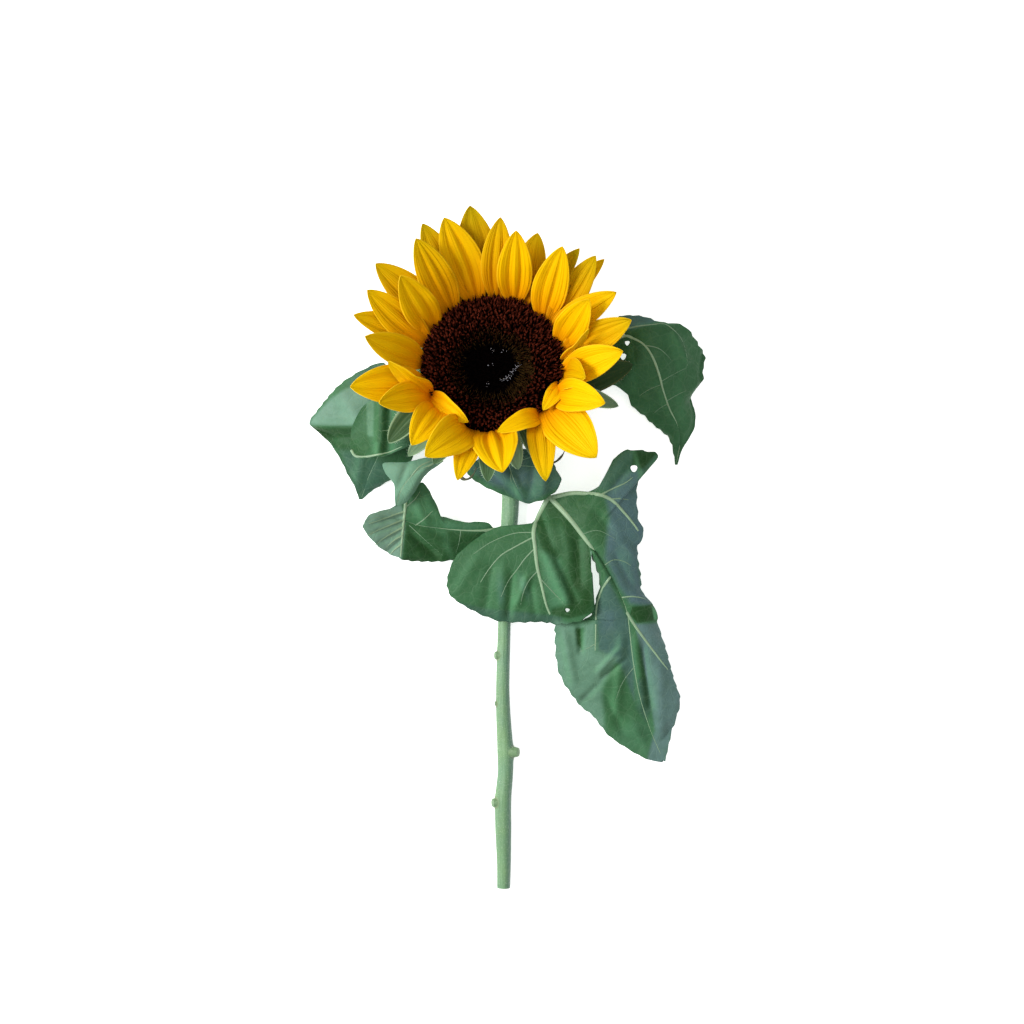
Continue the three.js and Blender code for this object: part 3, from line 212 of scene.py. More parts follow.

# A leaf is laid out by its midrib, from the foot of the blade to the tip, and by its two margins. Each
# margin point is [place along the midrib where its side vein springs, x, y, z of the underside].
# main_veins are half-widths and routes in plan; side_veins are places along the midrib where plain side
# veins spring. rib holds half-widths of the midrib at shares of its length. folds run in plan from x, y to
# x, y with a width and a height. zones are outlines in plan with a softness, painted one over the other,
# and patches are ellipses: x, y, two half-widths and a turn. Both end with how much painted sheen, how
# deep and how fresh the green is there, and a zone may add how pale it is. Deep green is partly painted
# shade, fresh green partly painted light, and pale green is painted light.
LEAVES = {
    "leaf_large_right": {
        "teeth": 1.1, "bow": 2.2, "rib": [[0, 1.45], [0.44, 1], [0.5, 0.42], [1, 0.12]], "grid": (250, 110),
        "petiole": {"y": 39, "turn": 25, "radius": 1.8, "by": [[13, 34.5, 13]]},
        "midrib": [[22, 29, 16], [31.6, 18.5, 20], [40, 7.6, 22.5], [49.5, -6, 22], [58, -20.9, 18.5],
            [61.6, -29.9, 16], [63.3, -42, 13], [65.5, -58, 9.5], [69, -75, 6], [75, -93, 2],
            [81.5, -108, 0]],
        "margins": [[[0, 21.5, 28.4, 15.8], [0.025, 17, 20.5, 15.5], [0.05, 12.5, 15.1, 15.3],
            [0.08, 7, 13.6, 15], [0.12, -4, 13.6, 15], [0.13, -14, 8.8, 15.3], [0.14, -26.6, -2.1, 15],
            [0.15, -30.7, -15, 14.2], [0.158, -27.5, -22.8, 13.5], [0.168, -12.2, -31.7, 13],
            [0.176, 0, -35, 13.3], [0.184, 18, -34.8, 14.5], [0.19, 26.2, -36, 15.5], [0.198, 38, -34, 17],
            [0.205, 44.5, -27.5, 18], [0.212, 41.6, -20.5, 18.8], [0.22, 41.6, -13.5, 20],
            [0.235, 41.6, 1.8, 21.5], [0.255, 44.4, -2.6, 21.2], [0.3, 47.2, -10.5, 19.8],
            [0.34, 48, -16, 17.8], [0.39, 46, -23.5, 14.8], [0.44, 43.5, -32, 11.2],
            [0.47, 39.3, -34.6, 10], [0.48, 38.7, -37.2, 9.4], [0.488, 34.5, -36.4, 9],
            [0.5, 25.8, -35, 8.5], [0.54, 25.2, -47, 7.3], [0.6, 26.3, -58.4, 5.7],
            [0.66, 29.5, -66.8, 4.5], [0.73, 38, -78.8, 3], [0.79, 45, -84.5, 2], [0.86, 53.8, -95.7, 1],
            [0.95, 71, -106.5, 0], [1, 80.7, -109, 0]], [[0, 22.7, 30, 16.2], [0.03, 35.8, 31.2, 19],
            [0.055, 43.9, 32.3, 20], [0.1, 50.4, 37.5, 23], [0.155, 54.2, 47.7, 26.5],
            [0.168, 61, 52.7, 26.5], [0.178, 75, 51.6, 23.5], [0.183, 76.4, 49, 23],
            [0.192, 67.1, 37.7, 20.5], [0.198, 66, 30, 19.2], [0.206, 66.8, 18.5, 19],
            [0.215, 69.8, 10.3, 17.5], [0.225, 66.2, 2.1, 17], [0.27, 68.3, -11.7, 15.5],
            [0.31, 68.8, -19, 14.2], [0.37, 76.1, -28.4, 10.5], [0.43, 77.7, -36.8, 9],
            [0.52, 82, -50, 7.2], [0.62, 86.1, -64.7, 4.7], [0.69, 89.5, -74.5, 3.6], [0.75, 89, -81, 2.6],
            [0.84, 85.8, -92.5, 1], [1, 82.3, -108.7, 0]]],
        "holes": [[31, -28.6, 1.1], [64.5, 43.6, 1.8]],
        "main_veins": [(1.35, [[21, 28.5], [16.2, 19.1], [13.7, 11.8], [14.4, 3], [15.5, -6.5], [17.7, -16],
            [20.2, -26.3], [22.1, -31]]), (0.45, [[13.2, 8.4], [3.8, 3.4], [-2.8, -0.6], [-8.7, -7.2],
            [-13.5, -14.5]]), (0.35, [[13.9, 2.6], [8.9, -2.8], [5.2, -8], [0.8, -13.8], [-3, -22]]),
            (0.3, [[15.8, -8.5], [11, -14], [8.2, -20.5], [7, -26]]), (0.3, [[14, 11], [4, 10.5], [-8, 6],
            [-17, 0]]), (0.3, [[16.6, -12], [24, -20], [30, -26]]), (1.3, [[23.5, 29], [33.8, 31],
            [42.6, 30.6], [47.7, 30], [53.6, 27.2], [60.1, 20.6], [65, 14.7], [67, 11.8]]),
            (0.5, [[47.7, 30.2], [53.6, 33.2], [60.1, 36.2], [64, 39]]), (0.4, [[52.8, 27.9], [57, 28.2],
            [62, 27.6]]), (0.3, [[49.8, -5.5], [54.3, -3], [60.1, -4], [64.5, -7]]), (0.2, [[38, 10],
            [46, 12], [55, 8]]), (0.2, [[66, -58], [60, -66], [56, -76]]), (0.7, [[52.6, -11.5],
            [49.8, -16], [47.6, -21.1], [46.2, -27], [45.7, -34], [45.6, -42], [45.4, -50]]),
            (0.45, [[58.7, -22.2], [64.5, -21.8], [70.4, -23.2], [74, -26]]), (0.85, [[61.4, -29.8],
            [64.9, -35.7], [71.3, -44.7], [78.5, -54.2], [83, -60]]), (0.25, [[45.4, -46.5], [42, -48.5],
            [37.1, -50.9]])],
        "side_veins": ([], []),
        "folds": [[20.5, 0, 30.5, -23, 2.8, 1.9], [26, -4, 34, -22, 2.6, -1.5],
            [-1.5, -7, -3.6, -30, 2.2, 0.6], [2.6, -12, 1, -30, 2, -1.6], [10.2, -13, 6.2, -24, 2, 1.5],
            [-8, -8, -11, -26, 2.4, -1.2], [12.5, -18, 14, -30, 1.8, -1.1], [-16, -4, -24, -17, 3, 1],
            [36, 5, 37, -12, 3.2, -1.6], [30, 12, 33, 0, 3, 1], [17, 21, 22, 5, 2.4, -1.2],
            [44, 22, 60, 8, 3.6, -1.4], [52, 18, 64, 0, 3, 1.2], [54, 34, 62, 44, 2.2, -1],
            [66, 52, 69, 42, 2, 1.6], [56, -2, 62, -14, 2.6, -1], [30, -44, 34, -64, 2.6, 1.3],
            [37.7, -40, 38, -49, 1.8, -1.6], [50, -64, 59, -56, 1.7, -1.4], [48, -60, 56, -51, 1.7, 1.3],
            [40, -75, 46, -69, 1.8, -1.2], [59, -46, 57, -80, 2.6, 1.2], [70, -50, 74, -78, 2.2, -1.5],
            [66.5, -46, 70, -76, 2.4, 1.2], [79, -62, 80, -92, 3.4, 1], [52, -76, 60, -92, 2.6, -1.1],
            [66, -88, 72, -102, 2.8, 0.8]],
        "patches": [[31, -27, 3, 3, 0, 0, 0.4, 0], [52, -34, 5, 7, 0, 0.6, 0.3, 0],
            [40.4, -75, 3, 2.4, 30, 0, 0.9, 0], [54, -61, 6, 2, 45, 0, 0.7, 0],
            [-3.2, -19, 2, 9, 3, 0.35, 0, 0.3], [9, -17, 2, 7, 20, 0.3, 0, 0.7]],
        "zones": [([[-34, -12], [-27, 5], [7, 14], [14, 16], [17, 4], [22, -31], [0, -36], [-30, -26]],
            1, 0, 0.3, 0.12), ([[-29, -24], [-12, -28], [10, -30], [28, -32], [28, -37], [0, -37],
            [-14, -34]], 1.2, 0.3, 0.6, 0), ([[21, 28], [32, 19], [42, 4], [43, -6], [41, -21], [44, -30],
            [32, -33], [23, -31], [17, 4], [14, 16]], 0.8, 0, 0.8, 0), ([[17, 2], [27, -3], [32, -25],
            [22, -28]], 2, 0.1, 0.1, 0.5), ([[33, 0], [42, 0], [44, -27], [37, -28], [34, -14]],
            2.5, 0, 1, 0), ([[24, 29], [47, 30], [52, 21], [52, 4], [46, 4], [32, 19]], 2, 0, 0.5, 0.1),
            ([[44, 34], [54, 30], [66, 36], [76, 50], [61, 53], [54, 47]], 2, 0.35, 0.1, 0.15), ([[64, 53],
            [77, 52], [72, 46], [67, 42], [63, 45]], 1.2, 0, 0.85, 0), ([[50, 30], [56, 38], [66, 44],
            [71, 9], [67, -4], [69, -18], [77, -28], [63, -25], [57, -16], [50, -2], [52, 20]],
            2, 0.95, 0.05, 0), ([[46, -27], [51, -12], [62, -33], [66, -57], [66, -76], [58, -57],
            [47, -50]], 1.5, 0.55, 0.4, 0), ([[25, -34], [35, -37], [45, -35], [46, -50], [57, -53],
            [49, -70], [51, -93], [37, -79], [28, -65], [23, -52]], 2, 0.25, 0, 0.4, 0.34), ([[51, -68],
            [58, -57], [65, -82], [53, -95]], 3, 0, 0.35, 0.15), ([[54, -96], [66, -87], [77, -87],
            [74, -107], [62, -102]], 2.5, 0.1, 0.15, 0.35), ([[66, -36], [80, -36], [91, -76], [86, -92],
            [82, -110], [73, -108], [77, -92], [74, -74], [70, -57]], 1, 1, 0, 0, 0.22), ([[67, -65],
            [72, -64], [76, -80], [72, -87], [67, -80]], 2, 0.3, 0.65, 0), ([[35, -38], [40, -38],
            [39, -50], [36, -47]], 1, 0, 0.95, 0), ([[64, -27], [75, -26], [78, -34], [67, -35.5],
            [63, -31]], 0.6, 0, 0.85, 0.1), ([[74, -27], [77, -29], [77.5, -34], [75.5, -34]],
            0.6, 0, 0, 1)],
    },
    "leaf_upper_right": {
        "teeth": 0.9, "bow": 1.6, "rib": [[0, 0.85], [0.5, 0.5], [1, 0.1]], "grid": (130, 90),
        "petiole": {
            "y": 80, "turn": -10, "radius": 1.7, "by": [[15, 91, 4.2], [35, 101, 5], [52, 108.5, 8.5]]},
        "midrib": [[62, 112, 12.5], [70, 107.5, 15], [74.5, 101, 16], [78, 92, 15], [80.5, 83.5, 12],
            [84, 74.5, 8.5], [88, 67, 5], [90, 59, 2], [88, 46, 0]],
        "margins": [[[0, 61, 111, 12], [0.04, 53, 108, 10], [0.12, 47, 99, 7], [0.22, 48, 90, 6],
            [0.32, 56, 87, 6], [0.4, 61.5, 83.5, 6], [0.48, 65.5, 76, 5.5], [0.56, 71, 72, 4.5],
            [0.64, 75.5, 67.5, 3.5], [0.72, 81, 63.5, 2.5], [0.8, 85, 59.5, 1.5], [0.9, 86.8, 51.5, 0.3],
            [1, 87.5, 46, 0]], [[0, 61.5, 114, 12.5], [0.01, 56, 117.5, 12], [0.03, 58, 122, 13],
            [0.06, 69, 121.8, 15], [0.12, 79, 118.5, 15], [0.2, 90, 117.5, 11], [0.28, 95, 113.5, 8],
            [0.35, 99.5, 107.5, 4], [0.42, 103, 102, 0], [0.5, 102, 95.5, 0], [0.56, 102, 90, 0],
            [0.62, 98.5, 86, 1], [0.68, 95.5, 80.5, 1.6], [0.75, 97.5, 75.5, 1], [0.83, 98, 67, 0.6],
            [0.89, 95.5, 61, 0.3], [0.95, 91, 53.5, 0], [1, 88.8, 46, 0]]],
        "holes": [[61.9, 108.2, 1.2], [59.8, 101.4, 1.6]],
        "main_veins": [(0.4, [[61, 115.4], [66, 116.4], [74.7, 117.3], [80.4, 117.8], [86.2, 114.1],
            [90.2, 109.3], [92.4, 102.4], [93.2, 97]]), (0.3, [[70, 107], [78, 105], [85, 99]])],
        "side_veins": ([0.42, 0.56], [0.4, 0.54]),
        "folds": [[68, 116, 84, 116.5, 2, 1.4], [86, 113, 92.5, 101, 2, 1.3], [83, 106, 88, 92, 3, -1.1],
            [66, 104, 68, 86, 3, 0.8], [76, 84, 80, 74, 2.4, -0.9], [90, 88, 92, 72, 3, 0.9]],
        "patches": [[92, 68, 6, 12, 10, 0, 0, 0.3], [94, 108, 6, 9, -20, 0, 0.1, 0.2]],
        "zones": [([[44, 44], [105, 44], [105, 125], [44, 125]], 1, 0, 0.3, 0.22), ([[60, 123], [71, 123],
            [80, 120], [71, 117], [64, 115], [59, 116]], 1, 0.8, 0, 0.1), ([[61, 115], [67, 113], [69, 101],
            [60, 89], [46, 88], [46, 108]], 3, 0, 0.8, 0)],
    },
    "leaf_back_left": {
        "teeth": 0.6, "bow": 1.2, "rib": [[0, 0.3], [1, 0.1]], "grid": (110, 80),
        "petiole": {"y": 80, "turn": 190, "radius": 1.7, "by": [[-30, 80, 5.5], [-44, 79, 9.5]]},
        "midrib": [[-54, 76, 14], [-58, 68, 14.5], [-62, 59, 12], [-67, 49, 8], [-72, 39, 3.5],
            [-76, 28, 0]],
        "margins": [[[0, -55, 77.5, 14], [0.05, -58, 88, 16], [0.12, -64, 98, 16], [0.22, -82, 90, 11.5],
            [0.3, -91.5, 82, 6.5], [0.38, -98, 74.5, 2], [0.46, -103, 68, 0], [0.54, -100, 64.5, 0],
            [0.62, -92, 57, 0.3], [0.7, -86, 47.5, 0.6], [0.8, -83, 41, 0.6], [0.9, -79.5, 35, 0.3],
            [1, -77, 28, 0]], [[0, -53, 75, 14], [0.1, -47, 66, 12], [0.25, -47, 56, 9.5],
            [0.4, -50, 48, 7.5], [0.55, -55, 42, 5], [0.7, -61.5, 38, 3.5], [0.85, -69, 33.5, 1.5],
            [1, -75.5, 28, 0]]],
        "holes": [],
        "main_veins": [],
        "side_veins": ([], []),
        "folds": [[-98, 66, -64, 66, 3, 1.6], [-96, 61, -70, 60, 3, -1.8], [-84, 80, -72, 60, 4, 1],
            [-72, 60, -78, 36, 3, 1]],
        "patches": [[-96, 62, 6, 2.4, -35, 0, 0.8, 0.2]],
        "zones": [([[-104, 67], [-91, 80], [-80, 86], [-70, 80], [-71, 66]], 1.2, 0.3, 0, 0.3, 0.45),
            ([[-81, 88], [-70, 98], [-57, 99], [-58, 84], [-70, 80]], 2, 0.4, 0.25, 0.1), ([[-102, 65.5],
            [-72, 65.5], [-74, 62], [-80, 60], [-80, 53], [-86, 53], [-97, 61]], 1.2, 0, 0.75, 0),
            ([[-86, 53], [-80, 53], [-60, 46], [-62, 36], [-76, 27], [-83, 40]], 3, 0.3, 0.55, 0)],
    },
    "leaf_curled_left": {
        "teeth": 0, "bow": -1.5, "rib": [[0, 0.1], [1, 0.05]], "grid": (80, 60),
        "petiole": {"y": 71, "turn": 180, "radius": 1.3, "by": [[-28, 67, 19]]},
        "midrib": [[-44, 64, 27.5], [-52, 63.5, 26], [-61, 63, 22.5], [-71, 61, 19], [-80, 57.5, 16]],
        "margins": [[[0, -44, 65.5, 27.5], [0.12, -48, 73, 27], [0.3, -57, 79, 24], [0.5, -66, 80, 20.5],
            [0.7, -74, 75, 18], [0.88, -79, 66, 16.5], [1, -80.5, 59, 16]], [[0, -44, 62.5, 27.5],
            [0.12, -48, 56, 28], [0.28, -56, 52, 27.5], [0.42, -62.5, 49.5, 26.5], [0.58, -68, 50, 24.5],
            [0.75, -74, 48.5, 23], [0.9, -78.5, 51, 20], [1, -80.5, 56, 16.5]]],
        "holes": [],
        "main_veins": [(0.7, [[-79.5, 53], [-77.5, 50.2], [-74, 49.4], [-66, 50.4], [-60, 51.6],
            [-53, 54.5]])],
        "side_veins": ([], []),
        "folds": [[-64, 79, -65, 53, 2.2, 1.5], [-59, 76, -60, 54, 2.6, -1.8]],
        "patches": [],
        "zones": [([[-64, 82], [-52, 79], [-43, 66], [-50, 49], [-64, 50]], 1, 0.1, 0.35, 0.1), ([[-72, 82],
            [-68, 82], [-68, 60], [-71, 60]], 0.8, 0, 0, 0.4, 0.3), ([[-67, 82], [-64, 82], [-65, 57],
            [-67, 57]], 0.8, 0, 0.9, 0), ([[-81, 59], [-77, 63], [-72, 62], [-70, 59], [-69, 52], [-75, 48],
            [-80, 53]], 1, 0, 0.7, 0.6)],
    },
    "leaf_folded_left": {
        "teeth": 0.3, "bow": 0.8, "rib": [[0, 0.55], [1, 0.2]], "grid": (70, 50),
        "petiole": {"y": 64, "turn": 180, "radius": 1.3, "by": [[-20, 58, 16]]},
        "midrib": [[-33, 48.5, 24.5], [-38.5, 45.5, 26.5], [-45, 42, 27.5], [-51, 36.5, 26.5],
            [-54.5, 30.5, 25], [-56, 25, 23.5]],
        "margins": [[[0, -33.7, 49.8, 24.5], [0.15, -41.4, 48.7, 26.5], [0.3, -51.2, 46.4, 26.5],
            [0.42, -62.5, 46, 26], [0.52, -61.5, 41.5, 26], [0.7, -57, 35.5, 25.5], [0.9, -56.8, 28, 24.5],
            [1, -56.7, 24.3, 23.5]], [[0, -32.3, 47, 24.5], [0.2, -39.5, 42.5, 24.5],
            [0.4, -43.5, 38, 23.5], [0.6, -48, 30.5, 22.5], [0.8, -51.5, 26.5, 22.5],
            [1, -55.3, 24.5, 23.5]]],
        "holes": [],
        "main_veins": [(0.5, [[-38, 47.5], [-44, 44.5], [-48.9, 39], [-53, 34]])],
        "side_veins": ([], []),
        "folds": [[-50, 46, -55, 34, 2, -1.1], [-42, 42, -50, 31, 2, 0.9]],
        "patches": [[-55, 41, 5, 6, 0, 0, 0, 0.4], [-46, 44, 6, 3, 30, 0.3, 0, 0.3]],
        "zones": [([[-63, 47], [-50, 48], [-52, 40], [-60, 38]], 1.5, 0, 0, 0.2, 0.2), ([[-38, 46],
            [-50, 30], [-56, 24], [-46, 28], [-39, 40]], 1.5, 0, 0.4, 0)],
    },
    "leaf_lower_left": {
        "teeth": 0.6, "bow": 1.4, "rib": [[0, 0.3], [0.7, 0.2], [1, 0.2]], "grid": (120, 80),
        "petiole": {"y": 12, "turn": 160, "radius": 1.6, "by": []},
        "midrib": [[-7.5, 12, 7.5], [-18, 12, 10.5], [-32, 13, 13.5], [-45, 14.5, 15.5], [-52.5, 17, 17],
            [-60, 18.5, 21], [-66.5, 18.5, 25.5], [-72.5, 15.5, 27.5]],
        "margins": [[[0, -7.5, 13.5, 7.6], [0.05, -11, 16, 9], [0.16, -22, 16, 11], [0.27, -30.5, 18, 13],
            [0.33, -35, 19.5, 13.6], [0.37, -36, 24, 14], [0.42, -38.6, 29, 14.5], [0.47, -41.2, 34.2, 15],
            [0.5, -44.4, 36.5, 15], [0.57, -50, 33, 15.5], [0.64, -54, 28, 17], [0.7, -57.5, 24, 19],
            [0.79, -63.5, 22, 23], [0.9, -69.5, 20, 26.5], [1, -72, 17, 28]], [[0, -7.5, 10.5, 7.3],
            [0.06, -11, 3, 7], [0.18, -21, -2, 7.5], [0.28, -27, -3, 8.5], [0.38, -36, -4, 9.5],
            [0.48, -49, -3.5, 12.5], [0.56, -54, -2.5, 16], [0.66, -61.5, 1, 20], [0.78, -67, 5.5, 24.5],
            [0.9, -71.5, 11, 27], [1, -73.2, 14.3, 28]]],
        "holes": [],
        "main_veins": [(0.9, [[-51.5, 29], [-52.6, 19], [-53.6, 8], [-54.3, -1.5]]), (0.6, [[-52.8, 21.5],
            [-59.5, 19.3], [-66, 16.8], [-70, 15.5]]), (0.6, [[-53, 17.5], [-60, 14.6], [-66, 12],
            [-70.5, 9.5]]), (0.6, [[-53.2, 13.5], [-58, 11], [-63.5, 7.6], [-67, 4.5]]),
            (0.6, [[-53.4, 9.5], [-57.5, 7], [-62, 3]]), (0.6, [[-53.8, 5], [-57, 2.6], [-59.5, 0]]),
            (0.22, [[-50, 14.6], [-44.5, 9.5], [-38, 3.5], [-33, -1]]), (0.35, [[-51.6, 24], [-47, 28],
            [-44.5, 32]]), (0.35, [[-47, 14.4], [-42, 18], [-38, 22]])],
        "side_veins": ([], [0.24]),
        "folds": [[-53.6, 19.6, -68, 15.2, 1.2, -0.9], [-54, 15.4, -68, 10.6, 1.2, -0.9],
            [-54, 11.2, -65, 5.8, 1.2, -0.8], [-54.5, 7, -61, 1.6, 1.1, -0.7], [-47, 8, -38, 0, 2.4, -1.5],
            [-42, 11, -30, 4, 2.4, 1.2], [-48, 30, -42, 18, 2.6, 1.1], [-20, 5, -8, 8, 3, -1],
            [-54, -2, -46, -2, 2, 0.8], [-10, 14, -26, 16, 1.8, 0.8]],
        "patches": [[-40, 2, 9, 6, -35, 0, 0.5, 0], [-48, 5, 3.5, 6, 0, 0, 0.1, 0.35]],
        "zones": [([[-75, 15], [-70, 21], [-54, 25], [-52, 14], [-54, -4], [-64, -2], [-73, 9]],
            0.8, 0.2, 0, 0.2, 0.72), ([[-52, 15], [-44, 13], [-34, 8], [-28, -5], [-54, -5]],
            2.5, 0, 0.85, 0), ([[-43, 38], [-34, 20], [-48, 19], [-52, 24]], 2, 0.05, 0.05, 0.35),
            ([[-34, 18], [-3, 15], [-3, 11], [-31, 12]], 1.5, 0.1, 0, 0.35), ([[-31, 12], [-4, 10.5],
            [-10, -2], [-28, -5]], 2, 0, 0.75, 0)],
    },
    "leaf_under_head": {
        "teeth": 0.7, "bow": 1.2, "rib": [[0, 0.5], [1, 0.15]], "grid": (90, 70),
        "petiole": {"y": 62, "turn": 90, "radius": 1.3, "by": [[-2.6, 59, 16]]},
        "midrib": [[-1.5, 54, 21.5], [0.5, 47, 23.5], [3, 39, 22.5], [6.5, 32, 19.5], [10.5, 26, 15.5]],
        "margins": [[[0, -3, 53.5, 21.5], [0.1, -10, 50.5, 22.5], [0.2, -17, 46.5, 23.5],
            [0.3, -20, 43.5, 23.5], [0.42, -18.5, 39.5, 22.5], [0.55, -11, 34.5, 20.5], [0.7, -3, 31, 18.5],
            [0.85, 4, 28.5, 16.5], [1, 9.6, 26.2, 15.5]], [[0, 0, 54.5, 21.5], [0.1, 10, 53, 24],
            [0.22, 20, 50, 26.5], [0.34, 25, 43, 26.5], [0.46, 27.5, 37, 26], [0.58, 24.5, 32, 24.5],
            [0.72, 19, 28, 22.5], [0.86, 14.5, 27, 19], [1, 11.6, 26, 15.7]]],
        "holes": [],
        "main_veins": [(0.22, [[1.9, 42.5], [2.2, 37], [4.4, 34.2]]), (0.25, [[3, 46], [12, 49],
            [20, 49.5]]), (0.25, [[0, 47], [-9, 45], [-17, 43]])],
        "side_veins": ([], [0.3]),
        "folds": [[-12, 44, 0, 34, 2.6, -1.2], [-6, 46, 6, 33, 2.4, 1.1], [14, 48, 12, 32, 2.6, -1.3],
            [20, 46, 19, 34, 2.4, 1.1], [4, 38, 8, 29, 1.8, 1.3]],
        "patches": [[-4.5, 39, 5, 4, 0, 0.75, 0, 0], [10, 39, 6, 4, 0, 0.7, 0.2, 0],
            [7, 31, 4.5, 2.6, -30, 0, 0, 0.9], [20.5, 35, 5, 7, 0, 0, 0.85, 0],
            [-13, 44, 7, 4, 0, 0, 0.5, 0.1], [2, 46, 10, 4, 0, 0.1, 0.6, 0]],
        "zones": [([[-21, 44], [0, 56], [28, 50], [28, 35], [10, 25]], 2, 0.45, 0.35, 0)],
    },
}


# ---- Numbers ----
def linear(*byte_colour):
    """The linear colour of a display colour given from 0 to 255."""
    share = np.array(byte_colour) / 255
    return tuple(np.where(share <= 0.04045, share / 12.92, ((share + 0.055) / 1.055) ** 2.4))


def drawn_numbers(seed):
    """Seeded numbers from 0 to 1 in the order that the solids draw them."""
    state = seed
    while True:
        state = (state * 1664525 + 1013904223) % 4294967296
        yield state / 4294967296


def smooth_step(low, high, values):
    """0 below low, 1 above high, and a cubic with level ends between them."""
    share = np.clip((values - low) / (high - low), 0, 1)
    return share * share * (3 - 2 * share)


def bell(offset, width):
    """The gaussian that falls to 1 / e at the width."""
    return np.exp(-((offset / width) ** 2))


def with_ends(points):
    """The points with one more at each end, as far past it as its neighbour lies before it."""
    points = np.asarray(points, float)
    return np.vstack([2 * points[0] - points[1], points, 2 * points[-1] - points[-2]])


def span_of(count, share):
    """The span that each share from 0 to 1 falls in, and how far along that span it lies."""
    place = np.clip(np.asarray(share, float), 0, 1) * (count - 1)
    span = np.minimum(place.astype(int), count - 2)
    return span, (place - span)[..., None]


def hermite(start, end, start_slope, end_slope, w):
    """The cubic from start to end that has the given slopes there."""
    return ((2 * w**3 - 3 * w**2 + 1) * start + (w**3 - 2 * w**2 + w) * start_slope
            + (3 * w**2 - 2 * w**3) * end + (w**3 - w**2) * end_slope)


def loose_curve(points, share, tension=0.4):
    """A cubic for each span, whose end slopes are tension times the step between the neighbours."""
    p = with_ends(points)
    i, w = span_of(len(points), share)
    return hermite(p[i + 1], p[i + 2], tension * (p[i + 2] - p[i]), tension * (p[i + 3] - p[i + 1]), w)


def close_curve(points, share):
    """The centripetal curve: each span counts as the square root of its length."""
    p = with_ends(points)
    step = np.sqrt(np.linalg.norm(np.diff(p, axis=0), axis=1))
    i, w = span_of(len(points), share)
    a, b, c = (step[i + k][..., None] for k in range(3))
    p0, p1, p2, p3 = (p[i + k] for k in range(4))
    start = ((p1 - p0) / a - (p2 - p0) / (a + b) + (p2 - p1) / b) * b
    end = ((p2 - p1) / b - (p3 - p1) / (b + c) + (p3 - p2) / c) * b
    return hermite(p1, p2, start, end, w)


def along(points, share):
    """The centripetal curve at shares of its length."""
    fine = np.linspace(0, 1, 801)
    dense = close_curve(points, fine)
    length = np.append(0, np.cumsum(np.linalg.norm(np.diff(dense, axis=0), axis=1)))
    return close_curve(points, np.interp(np.asarray(share) * length[-1], length, fine))


def depth_inside(places, outline):
    """How far places in plan lie inside an outline; outside it the distance is negative."""
    start = np.array(outline, float)
    way = np.roll(start, -1, axis=0) - start
    offset = places[:, None] - start
    share = np.clip((offset * way).sum(axis=-1) / (way**2).sum(axis=-1), 0, 1)
    distance = np.linalg.norm(offset - share[..., None] * way, axis=-1).min(axis=1)
    over = offset[..., 1] >= 0
    crosses = over != np.roll(over, -1, axis=1)
    left = offset[..., 0] * way[:, 1] < offset[..., 1] * way[:, 0]
    inside = (crosses & (left == (way[:, 1] > 0))).sum(axis=1) % 2 == 1
    return np.where(inside, distance, -distance)


def head_point(radius, bearing, height):
    """Places in the frame of the head: radius and bearing in its plane, height along its axis."""
    x = radius * np.cos(bearing)
    y = radius * np.sin(bearing)
    z = height + 0 * x
    return in_head(np.stack([x, y, z], axis=-1))


def in_head(points):
    """Places given in the head's own frame."""
    return HEAD_CENTRE + turned_with_head(points)


def turned_with_head(vectors):
    """Turns vectors of the head's frame about X by the tilt, so that its axis leans towards +Y."""
    x, y, z = vectors[..., 0], vectors[..., 1], vectors[..., 2]
    cos, sin = np.cos(HEAD_TILT), np.sin(HEAD_TILT)
    return np.stack([x, y * cos + z * sin, z * cos - y * sin], axis=-1)


def unit(vectors):
    """Vectors of length 1 in the same directions."""
    return vectors / np.maximum(np.linalg.norm(vectors, axis=-1, keepdims=True), 1e-9)


# ---- Meshes ----
def grid_quads(rows, columns, ring=False):
    """Quads between rows + 1 lines of points. In a ring the last column joins the first."""
    across = columns if ring else columns + 1
    i, j = np.meshgrid(np.arange(rows), np.arange(columns), indexing="ij")
    a = i * across + j
    b = i * across + (j + 1) % across
    return np.stack([a, b, b + across, a + across], axis=-1).reshape(-1, 4)


def stack_parts(parts):
    """One set of points and faces from many, given as (points, quads, value) with one value a part."""
    points, quads, values = [], [], []
    count = 0
    for part_points, part_quads, value in parts:
        points.append(part_points.reshape(-1, 3))
        quads.append(part_quads + count)
        values.append(np.full(len(points[-1]), float(value)))
        count += len(points[-1])
    return np.vstack(points), np.vstack(quads), np.concatenate(values)


def repeated(faces, points_each, copies):
    """The faces of a template for each of its copies."""
    offsets = points_each * np.arange(copies)[:, None, None]
    return (faces[None] + offsets).reshape(-1, faces.shape[1])


